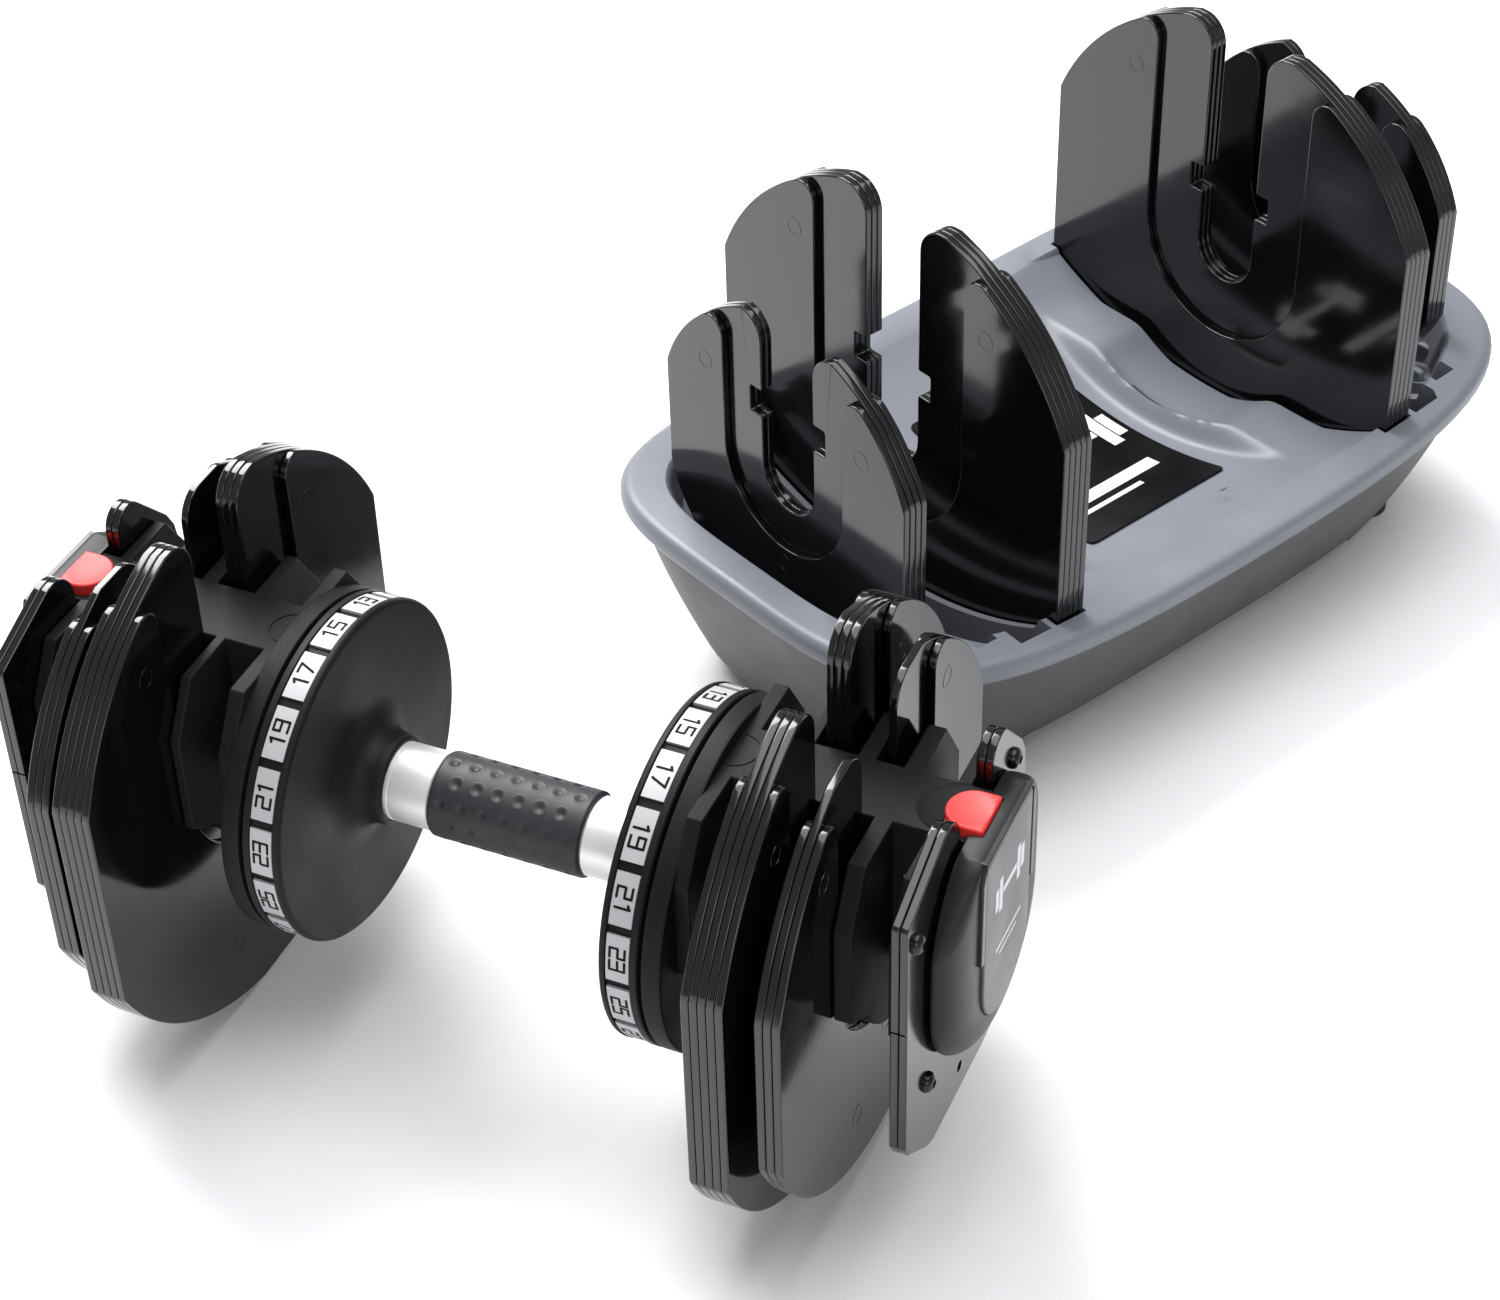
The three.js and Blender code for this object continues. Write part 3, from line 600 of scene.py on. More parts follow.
def band_patch(u0, u1, angles, sign, low, high):
    """A thin curved tile on the number band. u runs along the handle, and the angles are in degrees."""
    sections = []
    steps, corner = 10, 0.5
    outline = [(u0 + corner, low), (u1 - corner, low), (u1, low), (u1, high - 0.12), (u1 - 0.15, high),
               (u0 + 0.15, high), (u0, high - 0.12), (u0, low)]
    for i in range(steps + 1):
        t = radians(angles[0] + (angles[1] - angles[0]) * i / steps)
        sections.append([(sign * u, -r * cos(t), r * sin(t)) for u, r in outline])
    return loft(sections)


def strokes_of(digit):
    """The strokes of a squared digit, in a box that is 1 wide and 1 high."""
    corners = {"a": (0, 1), "b": (1, 1), "c": (0, 0.52), "d": (1, 0.52), "e": (0, 0), "f": (1, 0)}
    paths = {
        "0": ["abfea"], "2": ["abdcef"], "3": ["abdc", "dfe"], "4": ["acd", "bf"], "5": ["bacdfe"],
        "6": ["bacefdc"], "7": ["ab"], "8": ["abfeac", "cd"], "9": ["dcabfe"],
    }
    if digit == "1":
        return [((0.25, 0.86), (0.62, 1)), ((0.62, 1), (0.62, 0))]
    out = []
    for path in paths[digit]:
        points = [corners[c] for c in path]
        out += list(zip(points, points[1:]))
    if digit == "7":
        out += [((1, 1), (0.36, 0))]
    return out


def distance_to(p, a, b):
    """From a point to the stroke from a to b."""
    ab = (b[0] - a[0], b[1] - a[1])
    ap = (p[0] - a[0], p[1] - a[1])
    t = max(0.0, min(1.0, (ap[0] * ab[0] + ap[1] * ab[1]) / (ab[0] ** 2 + ab[1] ** 2)))
    return hypot(ap[0] - ab[0] * t, ap[1] - ab[1] * t)


DIGIT_WIDE, DIGIT_HIGH, DIGIT_PITCH = 3.9, 6.0, 5.6
CELL, STROKE = 0.2, 0.5
CORNERS = rectangle(0, 1, 0, 1)  # of a cell, and NEIGHBOURS[k] is beyond the side from corner k on
NEIGHBOURS = [(0, -1), (1, 0), (0, 1), (-1, 0)]


def number_cells(text):
    """The cells (column, row) of a printed number, counted from its middle."""
    start = -(len(text) - 1) * DIGIT_PITCH / 2 - DIGIT_WIDE / 2
    segments = []
    for i, digit in enumerate(text):
        left = start + i * DIGIT_PITCH
        for stroke in strokes_of(digit):
            segments.append([(left + u * DIGIT_WIDE, (v - 0.5) * DIGIT_HIGH) for u, v in stroke])
    across = int((len(text) * DIGIT_PITCH / 2 + 1) / CELL)
    up = int((DIGIT_HIGH / 2 + 1) / CELL)
    cells = set()
    for i in range(-across, across + 1):
        for j in range(-up, up + 1):
            if min(distance_to((i * CELL, j * CELL), a, b) for a, b in segments) <= STROKE:
                cells.add((i, j))
    return cells


def printed(cells, place, low, high):
    """A closed thin print from cells. place(u, v, r) gives the point of print coordinates."""
    verts, faces, index = [], [], {}

    def vertex(i, j, level):
        key = (i, j, level)
        if key not in index:
            index[key] = len(verts)
            verts.append(place((i - 0.5) * CELL, (j - 0.5) * CELL, high if level else low))
        return index[key]

    for i, j in sorted(cells):
        faces.append(tuple(vertex(i + a, j + b, 1) for a, b in CORNERS))
        faces.append(tuple(vertex(i + a, j + b, 0) for a, b in reversed(CORNERS)))
        for k, (di, dj) in enumerate(NEIGHBOURS):
            if (i + di, j + dj) not in cells:
                (a, b), (c, d) = CORNERS[k], CORNERS[(k + 1) % 4]
                faces.append((vertex(i + a, j + b, 0), vertex(i + c, j + d, 0),
                              vertex(i + c, j + d, 1), vertex(i + a, j + b, 1)))
    return verts, faces


def number_band(sign):
    """Silver labels round the dial, and the printed numbers on them."""
    tiles, prints = [], []
    middle = (BAND_INNER + BAND_OUTER) / 2
    ends = (BAND_INNER + 0.35, BAND_OUTER - 0.35)
    for i in range(LABELS):
        angle = 90 - (i - TOP_SETTING) * STEP_DEG
        span = (angle - LABEL_HALF, angle + LABEL_HALF)
        tiles.append(band_patch(*ends, span, sign, DIAL_R - BAND_DEPTH + 0.1, BAND_R))
        if i >= len(WEIGHTS):
            continue

        def place(u, v, r, angle=angle):
            t = radians(angle) - sign * u / BAND_R
            return (sign * (middle + v), -r * cos(t), r * sin(t))

        prints.append(printed(number_cells(str(WEIGHTS[i])), place, BAND_R - 0.05, BAND_R + 0.09))
    return merged(*tiles), merged(*prints)


def tube_shape():
    """The two bright ends with a groove each, and the hidden neck under the grip."""
    r, neck, end = TUBE_R, GRIP_R - 2 - GAP, GRIP_HALF + GAP
    right = [(end, r - 0.5), (end + 0.5, r), (BOSS_TIP - 2.4, r), (BOSS_TIP - 2.1, r - 0.35),
             (BOSS_TIP - 1.5, r - 0.35), (BOSS_TIP - 1.2, r), (TUBE_HALF, r), (TUBE_HALF, r - 3)]
    profile = [(-x, q) for x, q in reversed(right)] + [(-end, neck), (end, neck)] + right
    return turned(profile, 96)


DIMPLE = dict(pitch=9.0, columns=12, beside=3, radius=2.75, deep=0.75, ridge=0.10)


def dimple_depth(x, t):
    """How deep the grip's surface is pressed in at x along it and t round it."""
    depth = 0.0
    along = t / (2 * pi) * DIMPLE["columns"]
    for c in (round(along) - 1, round(along), round(along) + 1):
        shift = 0.5 if c % 2 else 0.0
        last = DIMPLE["beside"] - (1 if shift else 0)
        row = max(-DIMPLE["beside"], min(last, round(x / DIMPLE["pitch"] - shift)))
        dx = x - (row + shift) * DIMPLE["pitch"]
        dy = (along - c) * 2 * pi * GRIP_R / DIMPLE["columns"]
        d = hypot(dx, dy) / DIMPLE["radius"]
        if d < 1.25:
            inside = 0.5 + 0.5 * cos(pi * min(1.0, d))
            depth = max(depth, DIMPLE["deep"] * inside)
            depth -= DIMPLE["ridge"] * exp(-((d - 1.05) / 0.12) ** 2)
    return depth


def grip_shape():
    """A rubber sleeve with staggered rows of round dimples."""
    rows, round_steps = 196, 330
    edge_wide, edge_deep = 1.4, 1.2
    profile = []
    for i in range(rows + 1):
        x = -GRIP_HALF + 2 * GRIP_HALF * i / rows
        edge = 1 - min(1.0, (GRIP_HALF - abs(x)) / edge_wide)
        profile.append((x, GRIP_R - edge_deep * (1 - sqrt(max(0.0, 1 - edge ** 2)))))
    sections = []
    bore = [(GRIP_HALF, GRIP_INNER), (-GRIP_HALF, GRIP_INNER)]
    for s in range(round_steps):
        t = 2 * pi * s / round_steps
        line = [(x, r - dimple_depth(x, t)) for x, r in profile] + bore
        sections.append([(x, -r * sin(t), r * cos(t)) for x, r in line])
    return ring_of(sections)


# ---- Housing ----
def tooth_outline():
    """The walls between the plates: sloping shoulders, and round below."""
    half = [(TOOTH_TOP, DECK), (TOOTH_HALF, TOOTH_SHOULDER), (TOOTH_HALF, TOOTH_BELOW)]
    return soften(mirrored(half + arc(0, 3, TOOTH_TOP + 1, -22, -90, 14)), 1.5, 3, 30)


def housing_shape():
    """The drum behind the dial, and the toothed deck that the plates hang on."""
    a, b, r = FLANGE_INNER, FLANGE_OUTER, FLANGE_R
    drum = turned([(a, 8), (a, 20), (a + 3, 20), (a + 3, r - 5), (a, r - 5), (a, r - 0.8),
                   (a + 0.25, r - 0.25), (a + 0.8, r), (b - 1.2, r), (b - 0.35, r - 0.35), (b, r - 1.2),
                   (b, 8)], 144)
    web = soften(mirrored([(WEB_HALF, DECK)] + arc(0, SLOT_CENTRE, WEB_HALF, 0, -90, 14)), 1.0, 3, 30)
    solids = [prism(web, b - 1, HOUSING_OUTER, 0.4)]
    starts = [b - 1] + [PLATE[n]["outer"] + GAP for n in (1, 2, 3, 4)]
    for n, start in enumerate(starts, 1):
        solids.append(prism(tooth_outline(), start, PLATE[n]["inner"] - GAP, 0.7))
    rooms = [bar_x(a - 1, HOUSING_OUTER + 1, SHAFT_ROOM_R)]
    for n in (1, 2, 3, 4):
        middle = (PLATE[n]["inner"] + PLATE[n]["outer"]) / 2
        rooms += [box(middle - ROOM_HALF, middle + ROOM_HALF, *room) for room in (BAR_ROOM, CAM_ROOM)]
    rooms.append(upright(button_outline(GAP, 20), BUTTON_ROOM_LOW, DECK + 3, 0.0))
    rooms.append(post(SPRING["x"], 0, SPRING["low"] - GAP, 60, SPRING["room"], 0.0))
    # a scoop for the finger, and a fine curved groove beside the drum
    rooms.append(ellipsoid((184, 0, DECK + 1.2), (20.5, 16.0, 4.4)))
    rooms.append(deck_groove([(b + 1 + x, y) for x, y in arc(0, 0, 9, 90, -90, 20)], 0.8, 0.5))
    return carve(drum, join(*solids) + cut(*rooms))


def button_outline(room, steps):
    """Outline of (x, y), with room round it: straight at the outer end and round at the inner one."""
    outer, inner, half = BUTTON["outer"], BUTTON["inner"], BUTTON["half"]
    round_end = arc(0, 0, half + room, 90, 270, steps)
    return [(outer, -half - room), (outer, half + room)] + [(inner + half + x, y) for x, y in round_end]


def deck_groove(path, wide, deep):
    """A narrow channel along a path of (x, y) points on the deck."""
    spread = wide / 40
    outside = [(x + wide / 2, y * (1 + spread)) for x, y in path]
    inside = [(x - wide / 2, y * (1 - spread)) for x, y in reversed(path)]
    return upright(outside + inside, DECK - deep, DECK + 1, 0.0)


# ---- End cap ----
def cap_section(x, half, top, low):
    """Outline at x: round below, with sloping shoulders up to the flat deck."""
    deck = 22
    fall = 6 + 1.2 * (half - 24)
    points = arc(0, low + half, half, -88, 0, 20)
    for i in range(1, 13):
        t = radians(min(89.5, 90 * i / 12))
        points.append((deck + (half - deck) * cos(t) ** 1.25, top - fall * (1 - sin(t) ** 1.25)))
    return [(x, y, z) for y, z in mirrored(points)]


def cap_shape():
    """A hollow domed shell, open round the button, with a seat for the panel."""
    wide, narrow, low, high = 48, 28.5, -40, -25.5  # half width and lowest point, at the rim and at the face
    sections = [cap_section(CAP_INNER, wide - 0.2, DECK, low + 0.2)]
    first = CAP_INNER + 0.6
    for i in range(14):
        t = radians(90 * i / 13)
        half = narrow + (wide - narrow) * cos(t) ** 0.9
        x = first + (CAP_OUTER - first) * sin(t)
        sections.append(cap_section(x, half, DECK + 0.9 * sin(2 * t), high + (low - high) * cos(t)))
    reach = BUTTON["half"] + GAP
    opening = box(CAP_INNER - 2, BUTTON["outer"] + GAP, -reach, reach, BUTTON_ROOM_LOW, DECK + 8)
    hollow = loft([cap_section(CAP_INNER - 1, 44.5, DECK - 3, -36),
                   cap_section(CAP_INNER + 4, 40, DECK - 3, -33),
                   cap_section(CAP_OUTER - 2.2, 26.5, DECK - 4, -23)])
    seat = prism(panel_outline(0.5), CAP_OUTER - 0.9, CAP_OUTER + 2, 0.0)
    return carve(loft(sections), cut(hollow, opening, seat))


def panel_outline(grow=0.0):
    """The name panel's outline: round below, with two round corners and a slight peak above."""
    half = arc(0, 0, 24 + grow, -89, 0, 22) + arc(22, 60.3, 2 + grow, 0, 80, 6) + [(0.01, 63.2 + grow)]
    return tidy(mirrored(half))


def badge_shape():
    """The name panel: slightly domed, with rounded rims."""
    face, middle = CAP_OUTER + 1.7, 20
    rings = [(CAP_OUTER - 0.6, 1.0), (face - 1.1, 1.0), (face - 0.75, 0.995), (face - 0.5, 0.985),
             (face - 0.38, 0.96), (face - 0.16, 0.8), (face, 0.5)]
    return loft([[(x, y * f, middle + (z - middle) * f) for y, z in panel_outline()] for x, f in rings])


def bezel_shape():
    """The dark bracket round the upper half of the panel."""
    outer = [(27.6, 17), (27.6, 56.5), (23.8, 64.6)]
    inner = [(24.5, 17), (24.5, 61.6), (23, 63.4)]
    points = outer + [(-y, z) for y, z in reversed(outer)] + [(-y, z) for y, z in inner] + inner[::-1]
    return prism(soften(points, 0.9, 3, 30), CAP_OUTER - 1.6, CAP_OUTER + 1.5, 0.4)


def emblem_shape():
    """A generic mark: a small dumbbell seen from the side, over two plain lines."""
    bars = [(-7, 7, 36.6, 39.4), (-11, -7.6, 30, 46), (7.6, 11, 30, 46), (-15, -11.7, 32.8, 43.2),
            (11.7, 15, 32.8, 43.2), (-13, 13, 11.2, 12.6), (-9, 9, 7.4, 8.5)]
    return merged(*[box(CAP_OUTER + 1.2, CAP_OUTER + 1.72, *bar) for bar in bars])


def button_shape():
    """The red button, with a hollow for the finger."""
    head = upright(soften(button_outline(0, 28), 1.4, 4, 30), BUTTON["low"], BUTTON["high"], 1.1)
    finger = ellipsoid((BUTTON["inner"] + 9.2, 0, BUTTON["high"] + 3.0), (14, 15, 3.9))
    return carve(head, cut(finger))


def spring_shape():
    """The coil that pushes a locking button up."""
    wire, per_turn = SPRING["wire"], 24
    low, high = SPRING["low"] + wire, SPRING["high"] - wire
    steps = round(SPRING["turns"] * per_turn)
    sections = []
    for i in range(steps + 1):
        t, z = 2 * pi * i / per_turn, low + (high - low) * i / steps
        ring = arc(SPRING["radius"], z, wire, 0, 360, 10)[:-1]
        sections.append([(SPRING["x"] + r * cos(t), r * sin(t), h) for r, h in ring])
    return loft(sections)


# ---- Cradle ----
OBLONG_STEPS = 144


def oblong(half, z, lift=0.0):
    """Points of a superellipse, spread evenly. Lift raises it towards both ends."""
    def bend(v):
        return copysign(abs(v) ** (2 / RIM_POWER), v)

    q = RIM_POWER / 2
    quarter = OBLONG_STEPS // 4
    out = []
    for i in range(OBLONG_STEPS):
        w = (i % quarter) / quarter
        t = pi / 2 * (i // quarter + w ** q / (w ** q + (1 - w) ** q))
        x, y = bend(cos(t)), bend(sin(t))
        out.append((half[0] * x, half[1] * y, z + lift * x * x))
    return out


def shrink(half, by):
    return (half[0] - by, half[1] - by)


def slot_cutter(p, sign):
    """The space of a plate in the cradle, with room round it."""
    room = 1
    limit = p["half"] + room
    side = degrees(acos(limit / (p["radius"] + room)))
    half = arc(0, 0, p["radius"] + room, -90, -side, 24) + [(limit, 20)]
    x0, x1 = sorted((sign * (p["inner"] - room), sign * (p["outer"] + room)))
    return loft([[(x, y, z + CRADLE_AXIS) for y, z in tidy(mirrored(half))] for x in (x0, x1)])


def soft_over(value, soft):
    """About the value where it is above 0, and about 0 below, with a soft bend between."""
    return soft * log(1 + exp(min(50, value / soft)))


def saddle(sign):
    """The raised part of the trough under one dial: it blends into the trough and has a bowl for the dial."""
    def heights(x, y):
        trough = TROUGH_LOW + TROUGH_R - sqrt(TROUGH_R ** 2 - y * y)
        t = min(1.0, max(0.0, (x - SADDLE["start"]) / SADDLE["rise"]))
        plateau = SADDLE["low"] + (SADDLE["high"] - SADDLE["low"]) * t * t * (3 - 2 * t)
        top = trough + soft_over(plateau - trough, 2)
        radius = DIAL_R + 2 - max(0, 70 - x) ** 2 / 16
        if abs(y) < radius:
            bowl = CRADLE_AXIS - sqrt(radius ** 2 - y * y)
            top -= soft_over(top - bowl, 1.5)
        return trough - 3, max(top, trough - 1)

    sections = []
    ys = [-100 + 2.5 * i for i in range(81)]
    for x in [SADDLE["start"] + 1.5 * i for i in range(20)] + [72, 76, SADDLE["far"]]:
        columns = [(y, *heights(x, y)) for y in ys]
        sections.append([(sign * x, y, high) for y, _, high in columns]
                        + [(sign * x, y, low) for y, low, _ in reversed(columns)])
    return loft(sections)


def tray_space():
    """What is hollow above the trough, inside the tray's walls."""
    walls = [(19.5, RIM_TOP - 4.0), (18.6, RIM_TOP - 1.2), (17.4, RIM_TOP), (15, RIM_TOP + 6)]
    inside = loft([oblong(shrink(RIM_HALF, 27), TRAY_FLOOR + 4)]
                  + [oblong(shrink(RIM_HALF, by), z, LIFT) for by, z in walls])
    trough = tidy(mirrored(arc(0, 0, TROUGH_R, -90, -58, 24) + [(112, -150)]))
    hollow = loft([[(x, y, z + TROUGH_LOW + TROUGH_R) for y, z in trough] for x in (-212, 212)])
    return carve(hollow, [("INTERSECT", inside)])


def guide_fin(x, y, high):
    """A small post at the end of a plate's slot."""
    outline = soften([(y - 6, 64), (y + 6, 64), (y + 4.2, high), (y - 4.2, high)], 3, 5)
    return prism(outline, x - 1.9, x + 1.9, 1.2)


def tray_shape():
    """The upper tray: a rolled rim, a trough with a raised saddle at each end, and the plates' slots."""
    rim = [(40, RIM_SEAM), (5.0, RIM_SEAM), (1.6, RIM_SEAM + 0.5), (0.3, RIM_SEAM + 1.8),
           (0, RIM_SEAM + 3.4), (0, RIM_TOP - 4.4), (0.5, RIM_TOP - 2.8), (1.6, RIM_TOP - 1.2),
           (3.2, RIM_TOP - 0.3), (5.0, RIM_TOP), (40, RIM_TOP)]
    shell = loft([oblong(shrink(RIM_HALF, by), z, LIFT) for by, z in rim])
    body = loft([oblong(shrink(RIM_HALF, 33), TRAY_FLOOR), oblong(shrink(RIM_HALF, 12), RIM_SEAM + 4, LIFT)])
    steps = join(body) + cut(tray_space())
    for sign in (-1, 1):
        outline = tidy(mirrored(arc(0, 0, WELL["radius"], -90, -38, 28)))
        ends = sorted((sign * WELL["inner"], sign * WELL["outer"]))
        well = loft([[(x, y, z + CRADLE_AXIS) for y, z in outline] for x in ends])
        steps += join(carve(well, [("INTERSECT", base_space(4.5))]), saddle(sign))
    steps += join(*[post(x, y, 12, TRAY_FLOOR + 2, 7) for x, y in SCREW_PLACES])
    for sign in (-1, 1):
        for across in (1, -1):
            steps += join(*[guide_fin(sign * x, across * y, high) for x, y, high in FINS])
    for sign in (-1, 1):
        ends = sorted((sign * SLIT["inner"], sign * SLIT["outer"]))
        slit = box(*ends, -SLIT["half"], SLIT["half"], TROUGH_LOW - 3, TROUGH_LOW + 7)
        steps += cut(slit, *[slot_cutter(PLATE[n], sign) for n in (1, 2, 3, 4)])
    steps += cut(*[post(x, y, 10, 30, 2.2, 0.0, 24) for x, y in SCREW_PLACES])
    return carve(shell, steps)


def base_space(wall):
    """The inside of the base shell, where its side is wall thick."""
    return loft([oblong(shrink(FOOT_HALF, wall), FOOT_Z + 6.5),
                 oblong(shrink(RIM_HALF, wall + 5), RIM_SEAM + 6, LIFT)])


def arch_spaces(wall=0.0):
    """The openings under the sides of the base, or with a wall round them."""
    spaces = []
    for half, start, turn in ARCHES:
        reach, top = half + wall, ARCH_HIGH + wall
        outline = soften([(-reach - 8, -1), (reach + 8, -1), (reach - 2, top), (2 - reach, top)], 3, 4)
        space = loft([[(x, y, z) for x, z in outline] for y in (start - wall, start + 80)])
        spaces.append(moved(space, Matrix.Rotation(radians(turn), 4, "Z")))
    return spaces


def base_shape():
    """A bowed shell on a flat foot, with an arch under each side and the screws' holes."""
    outer = [oblong(shrink(FOOT_HALF, 2.0), FOOT_Z), oblong(shrink(FOOT_HALF, 0.6), FOOT_Z + 0.6)]
    low, high = FOOT_HALF, shrink(RIM_HALF, 6)
    for i in range(1, 9):
        t = i / 8
        bow = 2.0 * sin(pi * t)
        half = [low[k] + (high[k] - low[k]) * t + bow for k in (0, 1)]
        outer.append(oblong(half, FOOT_Z + 0.6 + (RIM_SEAM - 1.2 - FOOT_Z) * t, LIFT * t))
    outer.append(oblong(shrink(RIM_HALF, 30), RIM_SEAM - 0.6, LIFT))
    spaces = [carve(base_space(3.5), cut(*arch_spaces(3.5))), *arch_spaces()]
    for x, y in SCREW_PLACES:
        spaces += [post(x, y, -1, 14, 2.6, 0.0, 24), post(x, y, -1, FOOT_Z + 3, 5.2, 0.0, 36)]
    return carve(loft(outer), cut(*spaces))


STRIP = 4  # width of the flat strips that a bent sheet is made of


def label_shape():
    """A thin sheet with round corners on the trough's curve."""
    long, half_arc = LABEL_HALF_LONG, radians(17) * LABEL_OUTER
    outline = soften(rectangle(-long, long, -half_arc, half_arc), 3.0, 6)
    dense = []
    for p, q in zip(outline, outline[1:] + outline[:1]):
        count = max(1, int(abs(q[1] - p[1]) / STRIP))
        dense += [(p[0] + (q[0] - p[0]) * k / count, p[1] + (q[1] - p[1]) * k / count) for k in range(count)]
    return bent_sheet(dense, LABEL_INNER, LABEL_OUTER)


def bent_sheet(outline, r0, r1):
    """A closed sheet between two radii of the trough. Its outline has (x, arc length) points."""
    bm = bmesh.new()
    vs = [bm.verts.new((x, s, 0)) for x, s in outline]
    bm.faces.new(vs)
    low, high = min(s for _, s in outline), max(s for _, s in outline)
    count = max(1, int((high - low) / STRIP))
    for i in range(1, count):
        s = low + (high - low) * i / count
        geom = bm.verts[:] + bm.edges[:] + bm.faces[:]
        bmesh.ops.bisect_plane(bm, geom=geom, plane_co=(0, s, 0), plane_no=(0, 1, 0))
    bm.verts.ensure_lookup_table()
    bm.verts.index_update()
    flat = [tuple(v.co) for v in bm.verts]
    strips = [[v.index for v in f.verts] for f in bm.faces]
    borders = [(e.verts[0].index, e.verts[1].index) for e in bm.edges if len(e.link_faces) == 1]
    bm.free()
    n = len(flat)

    def bend(x, s, r):
        t = s / r1
        return (x, r * sin(t), TROUGH_LOW + TROUGH_R - r * cos(t))

    verts = [bend(x, s, r0) for x, s, _ in flat] + [bend(x, s, r1) for x, s, _ in flat]
    faces = [tuple(f) for f in strips] + [tuple(i + n for i in reversed(f)) for f in strips]
    directed = {(f[i], f[(i + 1) % len(f)]) for f in strips for i in range(len(f))}
    for a, b in borders:
        if (a, b) in directed:
            a, b = b, a
        faces.append((a, b, b + n, a + n))
    return outward(verts, faces)


def label_print():
    """A generic mark on the label: a dumbbell, and plain bars."""
    bars = [(0, 26, 4, 8.5), (-7.5, -0.8, -7, 19.5), (26.8, 33.5, -7, 19.5), (-14, -8.3, -2.5, 15),
            (34.3, 40, -2.5, 15), (-36, 30, -33, -25), (-36, 12, -40.5, -37.5)]
    return merged(*[bent_sheet(rectangle(*bar), LABEL_INNER - 0.22, LABEL_INNER + 0.1) for bar in bars])


def base_screw_shape(x, y):
    """A screw from below, with a cross in its head."""
    low, high, tip, shank, head = FOOT_Z + 0.4, FOOT_Z + 2.6, 28, 2, 4.5
    shape = turned_up([(low, 0.01), (low, head - 0.9), (low + 0.6, head), (high, head), (high, shank),
                       (tip - 1, shank), (tip, shank - 1), (tip, 0.01)], 32)
    reach, half, deep = 2.6, 0.55, FOOT_Z + 1.6
    cross = box(-reach, reach, -half, half, 0, deep), box(-half, half, -reach, reach, 0, deep)
    mesh = carve(shape, cut(*cross))
    mesh.transform(Matrix.Translation((x, y, 0)))
    return mesh


def foot_shape(x, y):
    """A rubber pad with a ring groove in its sole."""
    top = FOOT_Z - 0.3
    verts, faces = turned_up([(0, 0.01), (0, 7), (0.5, 7.3), (0.5, 8.6), (0, 9), (0, 11.2), (0.8, 12),
                              (top, 12), (top, 0.01)], 48)
    return [(x + a, y + b, c) for a, b, c in verts], faces


# ---- Build the dumbbell ----
FRAME = "dumbbell_frame"
add("handle_tube_turned", tube_shape(), DUMBBELL, "handle", "tube_aluminium", ["handle_tube"])
add("grip_sleeve", grip_shape(), DUMBBELL, "handle", "grip_rubber", ["grip"], weighted=False)
for side, (sign, flip) in SIDES.items():
    at = DUMBBELL @ flip
    add(f"dial_wheel_{side}", dial_shape(), at, "handle", "dial_plastic", [f"dial_{side}"])
    tiles, prints = number_band(sign)
    add(f"number_labels_{side}", tiles, DUMBBELL, "handle", "number_band", [f"number_ring_{side}"])
    add(f"number_print_{side}", prints, DUMBBELL, "handle", "number_band", material="print_black",
        weighted=False)
    for n in (2, 3):
        add(f"plate_stack_{n}_{side}", stacked_plate(n), at, FRAME, "plate_gloss", [f"plate_{n}_{side}"])
    add(f"end_plate_{side}", end_plate(), at, FRAME, "plate_gloss", [f"plate_5_{side}"])
    for i, (y, z) in enumerate(SCREWS, 1):
        add(f"domed_screw_{i}_{side}", screw_shape(y, z), at, FRAME, "screw_black",
            [f"plate_screw_{i}_{side}"])
    add(f"housing_frame_{side}", housing_shape(), at, FRAME, "housing_plastic", [f"housing_{side}"])
    add(f"end_cap_shell_{side}", cap_shape(), at, FRAME, "cap_plastic", [f"end_cap_{side}"])
    add(f"badge_panel_{side}", badge_shape(), at, FRAME, "badge_plastic", [f"badge_{side}"])
    add(f"badge_emblem_{side}", emblem_shape(), at, FRAME, "badge_plastic", material="print_white")
    add(f"badge_bezel_{side}", bezel_shape(), at, FRAME, "cap_plastic", material="bezel_plastic")
    button = f"button_{side}"
    add(f"button_cap_{side}", button_shape(), at, button, "button_red", [f"lock_button_{side}"])
    ends = [at @ Vector((SPRING["x"], 0, z)) for z in (SPRING["low"] + 1, SPRING["high"] - 1)]
    add(f"button_coil_{side}", spring_shape(), at, (FRAME, button, *ends), "steel", [f"button_spring_{side}"],
        weighted=False)

# ---- Build the cradle ----
add("tray_moulding", tray_shape(), CRADLE, "cradle", "tray_plastic", ["tray"], bevel=0.9)
add("base_moulding", base_shape(), CRADLE, "cradle", "base_plastic", ["base_shell"], bevel=0.5)
add("label_sheet", label_shape(), CRADLE, "cradle", "label_film", ["label_plate"])
add("label_mark", label_print(), CRADLE, "cradle", "label_film", material="print_white")
for i, (x, y) in enumerate(SCREW_PLACES, 1):
    add(f"base_screw_detail_{i}", base_screw_shape(x, y), CRADLE, "cradle", "screw_black",
        [f"base_screw_{i}"])
for i, (x, y) in enumerate(FOOT_PLACES, 1):
    add(f"foot_pad_{i}", foot_shape(x, y), CRADLE, "cradle", "foot_rubber", [f"foot_{i}"])
PARKED = CRADLE @ Matrix.Translation((0, 0, CRADLE_AXIS))
for side, (_, flip) in SIDES.items():
    for n in (1, 4):
        add(f"parked_stack_{n}_{side}", stacked_plate(n), PARKED @ flip, f"parked_plate_{n}_{side}",
            "plate_gloss", [f"plate_{n}_{side}"])

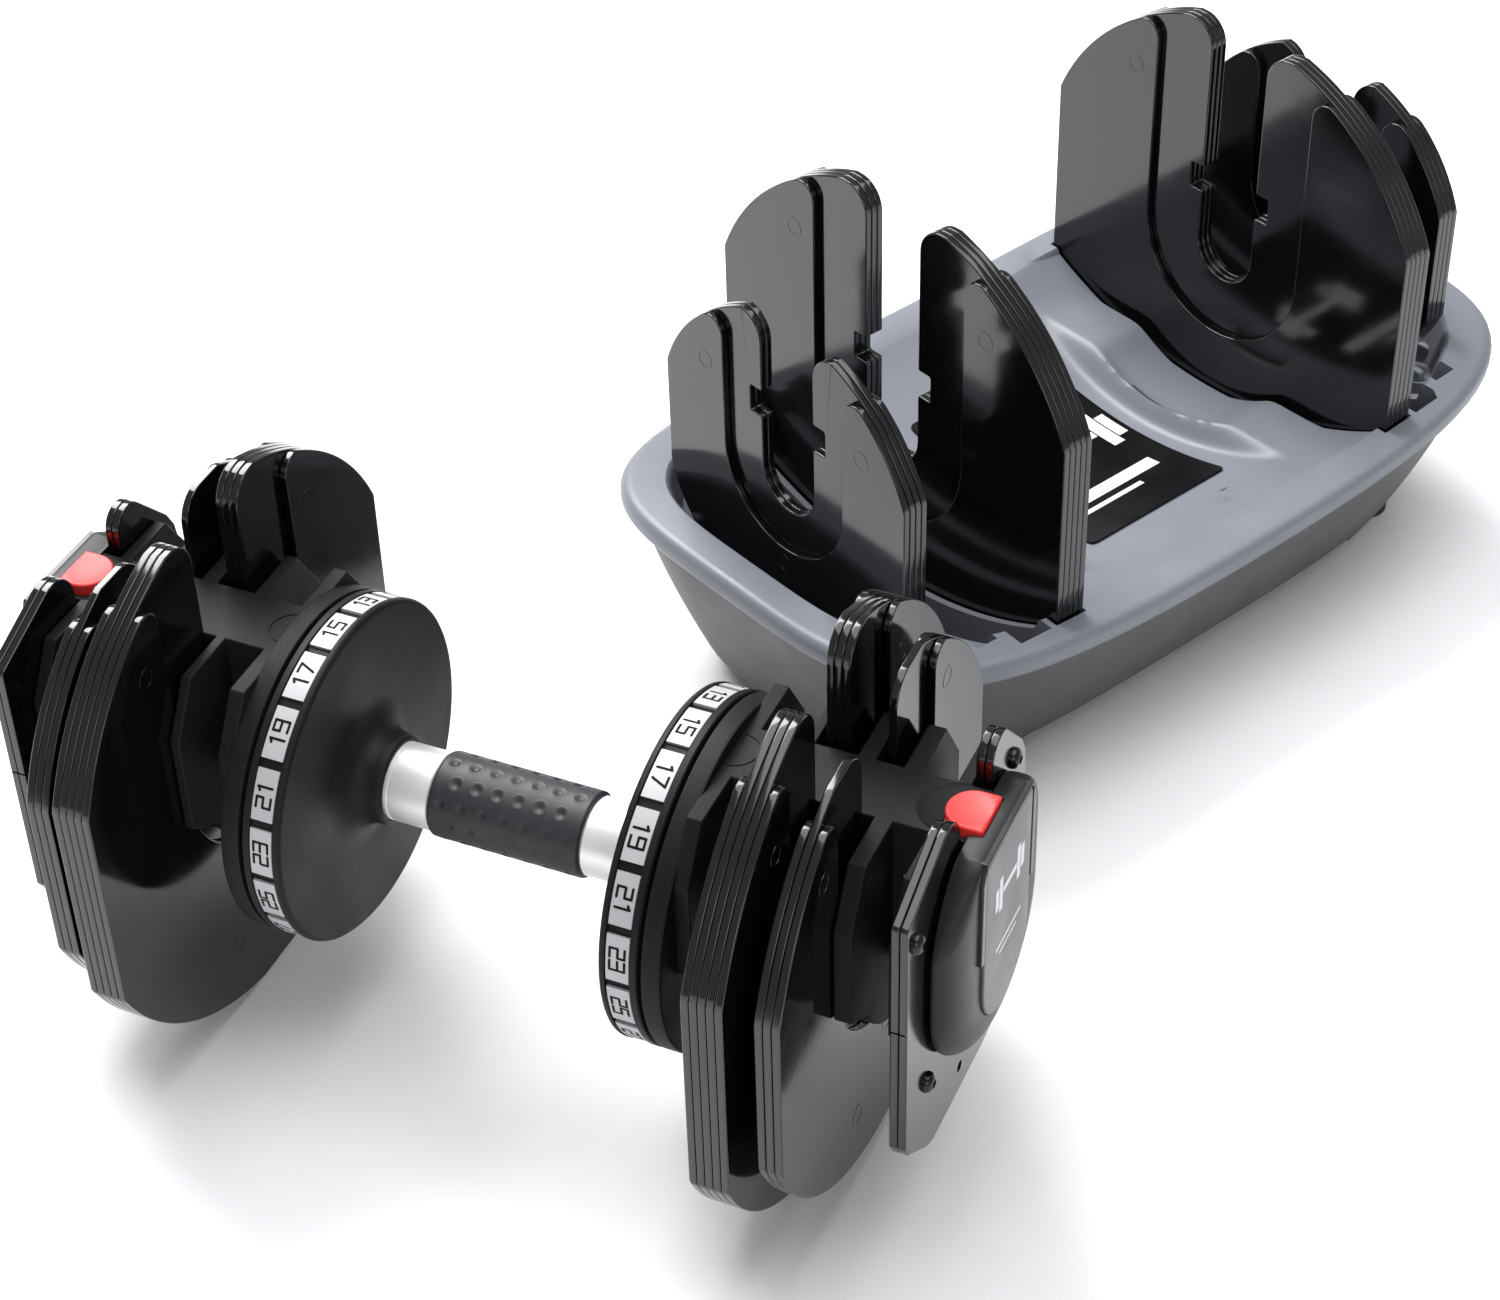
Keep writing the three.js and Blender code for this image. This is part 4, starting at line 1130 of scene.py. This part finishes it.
# ---- CAD nodes that stay: the steel inside ----
SLOT_OF = {part["node"]: part["material_slot"] for part in frame["record"]["subparts"]}
for name, node in frame["nodes"].items():
    if not node.hide_render:
        node.data.materials.clear()
        node.data.materials.append(MAT[SLOT_OF[name]])

# ---- Floor, light and camera, in metres ----
FLOOR = rectangle(-8, 8, -8, 8)
floor = linked("floor", mesh_of(([(x, y, 0) for x, y in FLOOR], [(0, 1, 2, 3)]), "floor"))
paper = finish_of("floor_paper", (0.88, 0.885, 0.90), 0.75, 300, (0.03, 0.0002), spread=0.01)
floor.data.materials.append(paper)

world = bpy.data.worlds.new("studio")
bpy.context.scene.world = world
world.use_nodes = True
sky = world.node_tree.nodes["Background"]
sky.inputs["Color"].default_value = (0.97, 0.98, 1.0, 1)
sky.inputs["Strength"].default_value = 0.42


def area_light(name, at, aim, size, power):
    data = bpy.data.lights.new(name, "AREA")
    data.shape, data.size, data.size_y, data.energy = "RECTANGLE", size[0], size[1], power
    light = bpy.data.objects.new(name, data)
    bpy.context.scene.collection.objects.link(light)
    light.location = at
    light.rotation_mode = "QUATERNION"
    light.rotation_quaternion = (Vector(aim) - Vector(at)).to_track_quat("-Z", "Y")


area_light("key", (-1.3, 0.9, 1.9), (0, 0, 0.05), (1.5, 1.5), 92)
area_light("top", (0.2, 0.1, 2.4), (0, 0, 0), (2.2, 2.2), 50)
area_light("front", (1.2, -1.9, 1.1), (0, -0.1, 0.1), (1.4, 1.0), 10)

camera_data = bpy.data.cameras.new("camera")
camera_data.sensor_width = 36
camera_data.lens = 75.6
camera_data.shift_x, camera_data.shift_y = -0.0145, -0.009
camera_data.clip_start, camera_data.clip_end = 0.05, 50
camera = bpy.data.objects.new("camera", camera_data)
bpy.context.scene.collection.objects.link(camera)
FROM_HANDLE = Vector((0.4593, -0.7841, 0.8262))
RIGHT, UP, BACK = (0.9188, 0.3942, -0.0188), (-0.2366, 0.5884, 0.7732), (0.3158, -0.706, 0.6339)
turn = Matrix((RIGHT, UP, BACK)).transposed().to_4x4()
camera.matrix_world = Matrix.Translation(HANDLE + FROM_HANDLE) @ turn
bpy.context.scene.camera = camera
bpy.context.scene.view_settings.view_transform = "Standard"
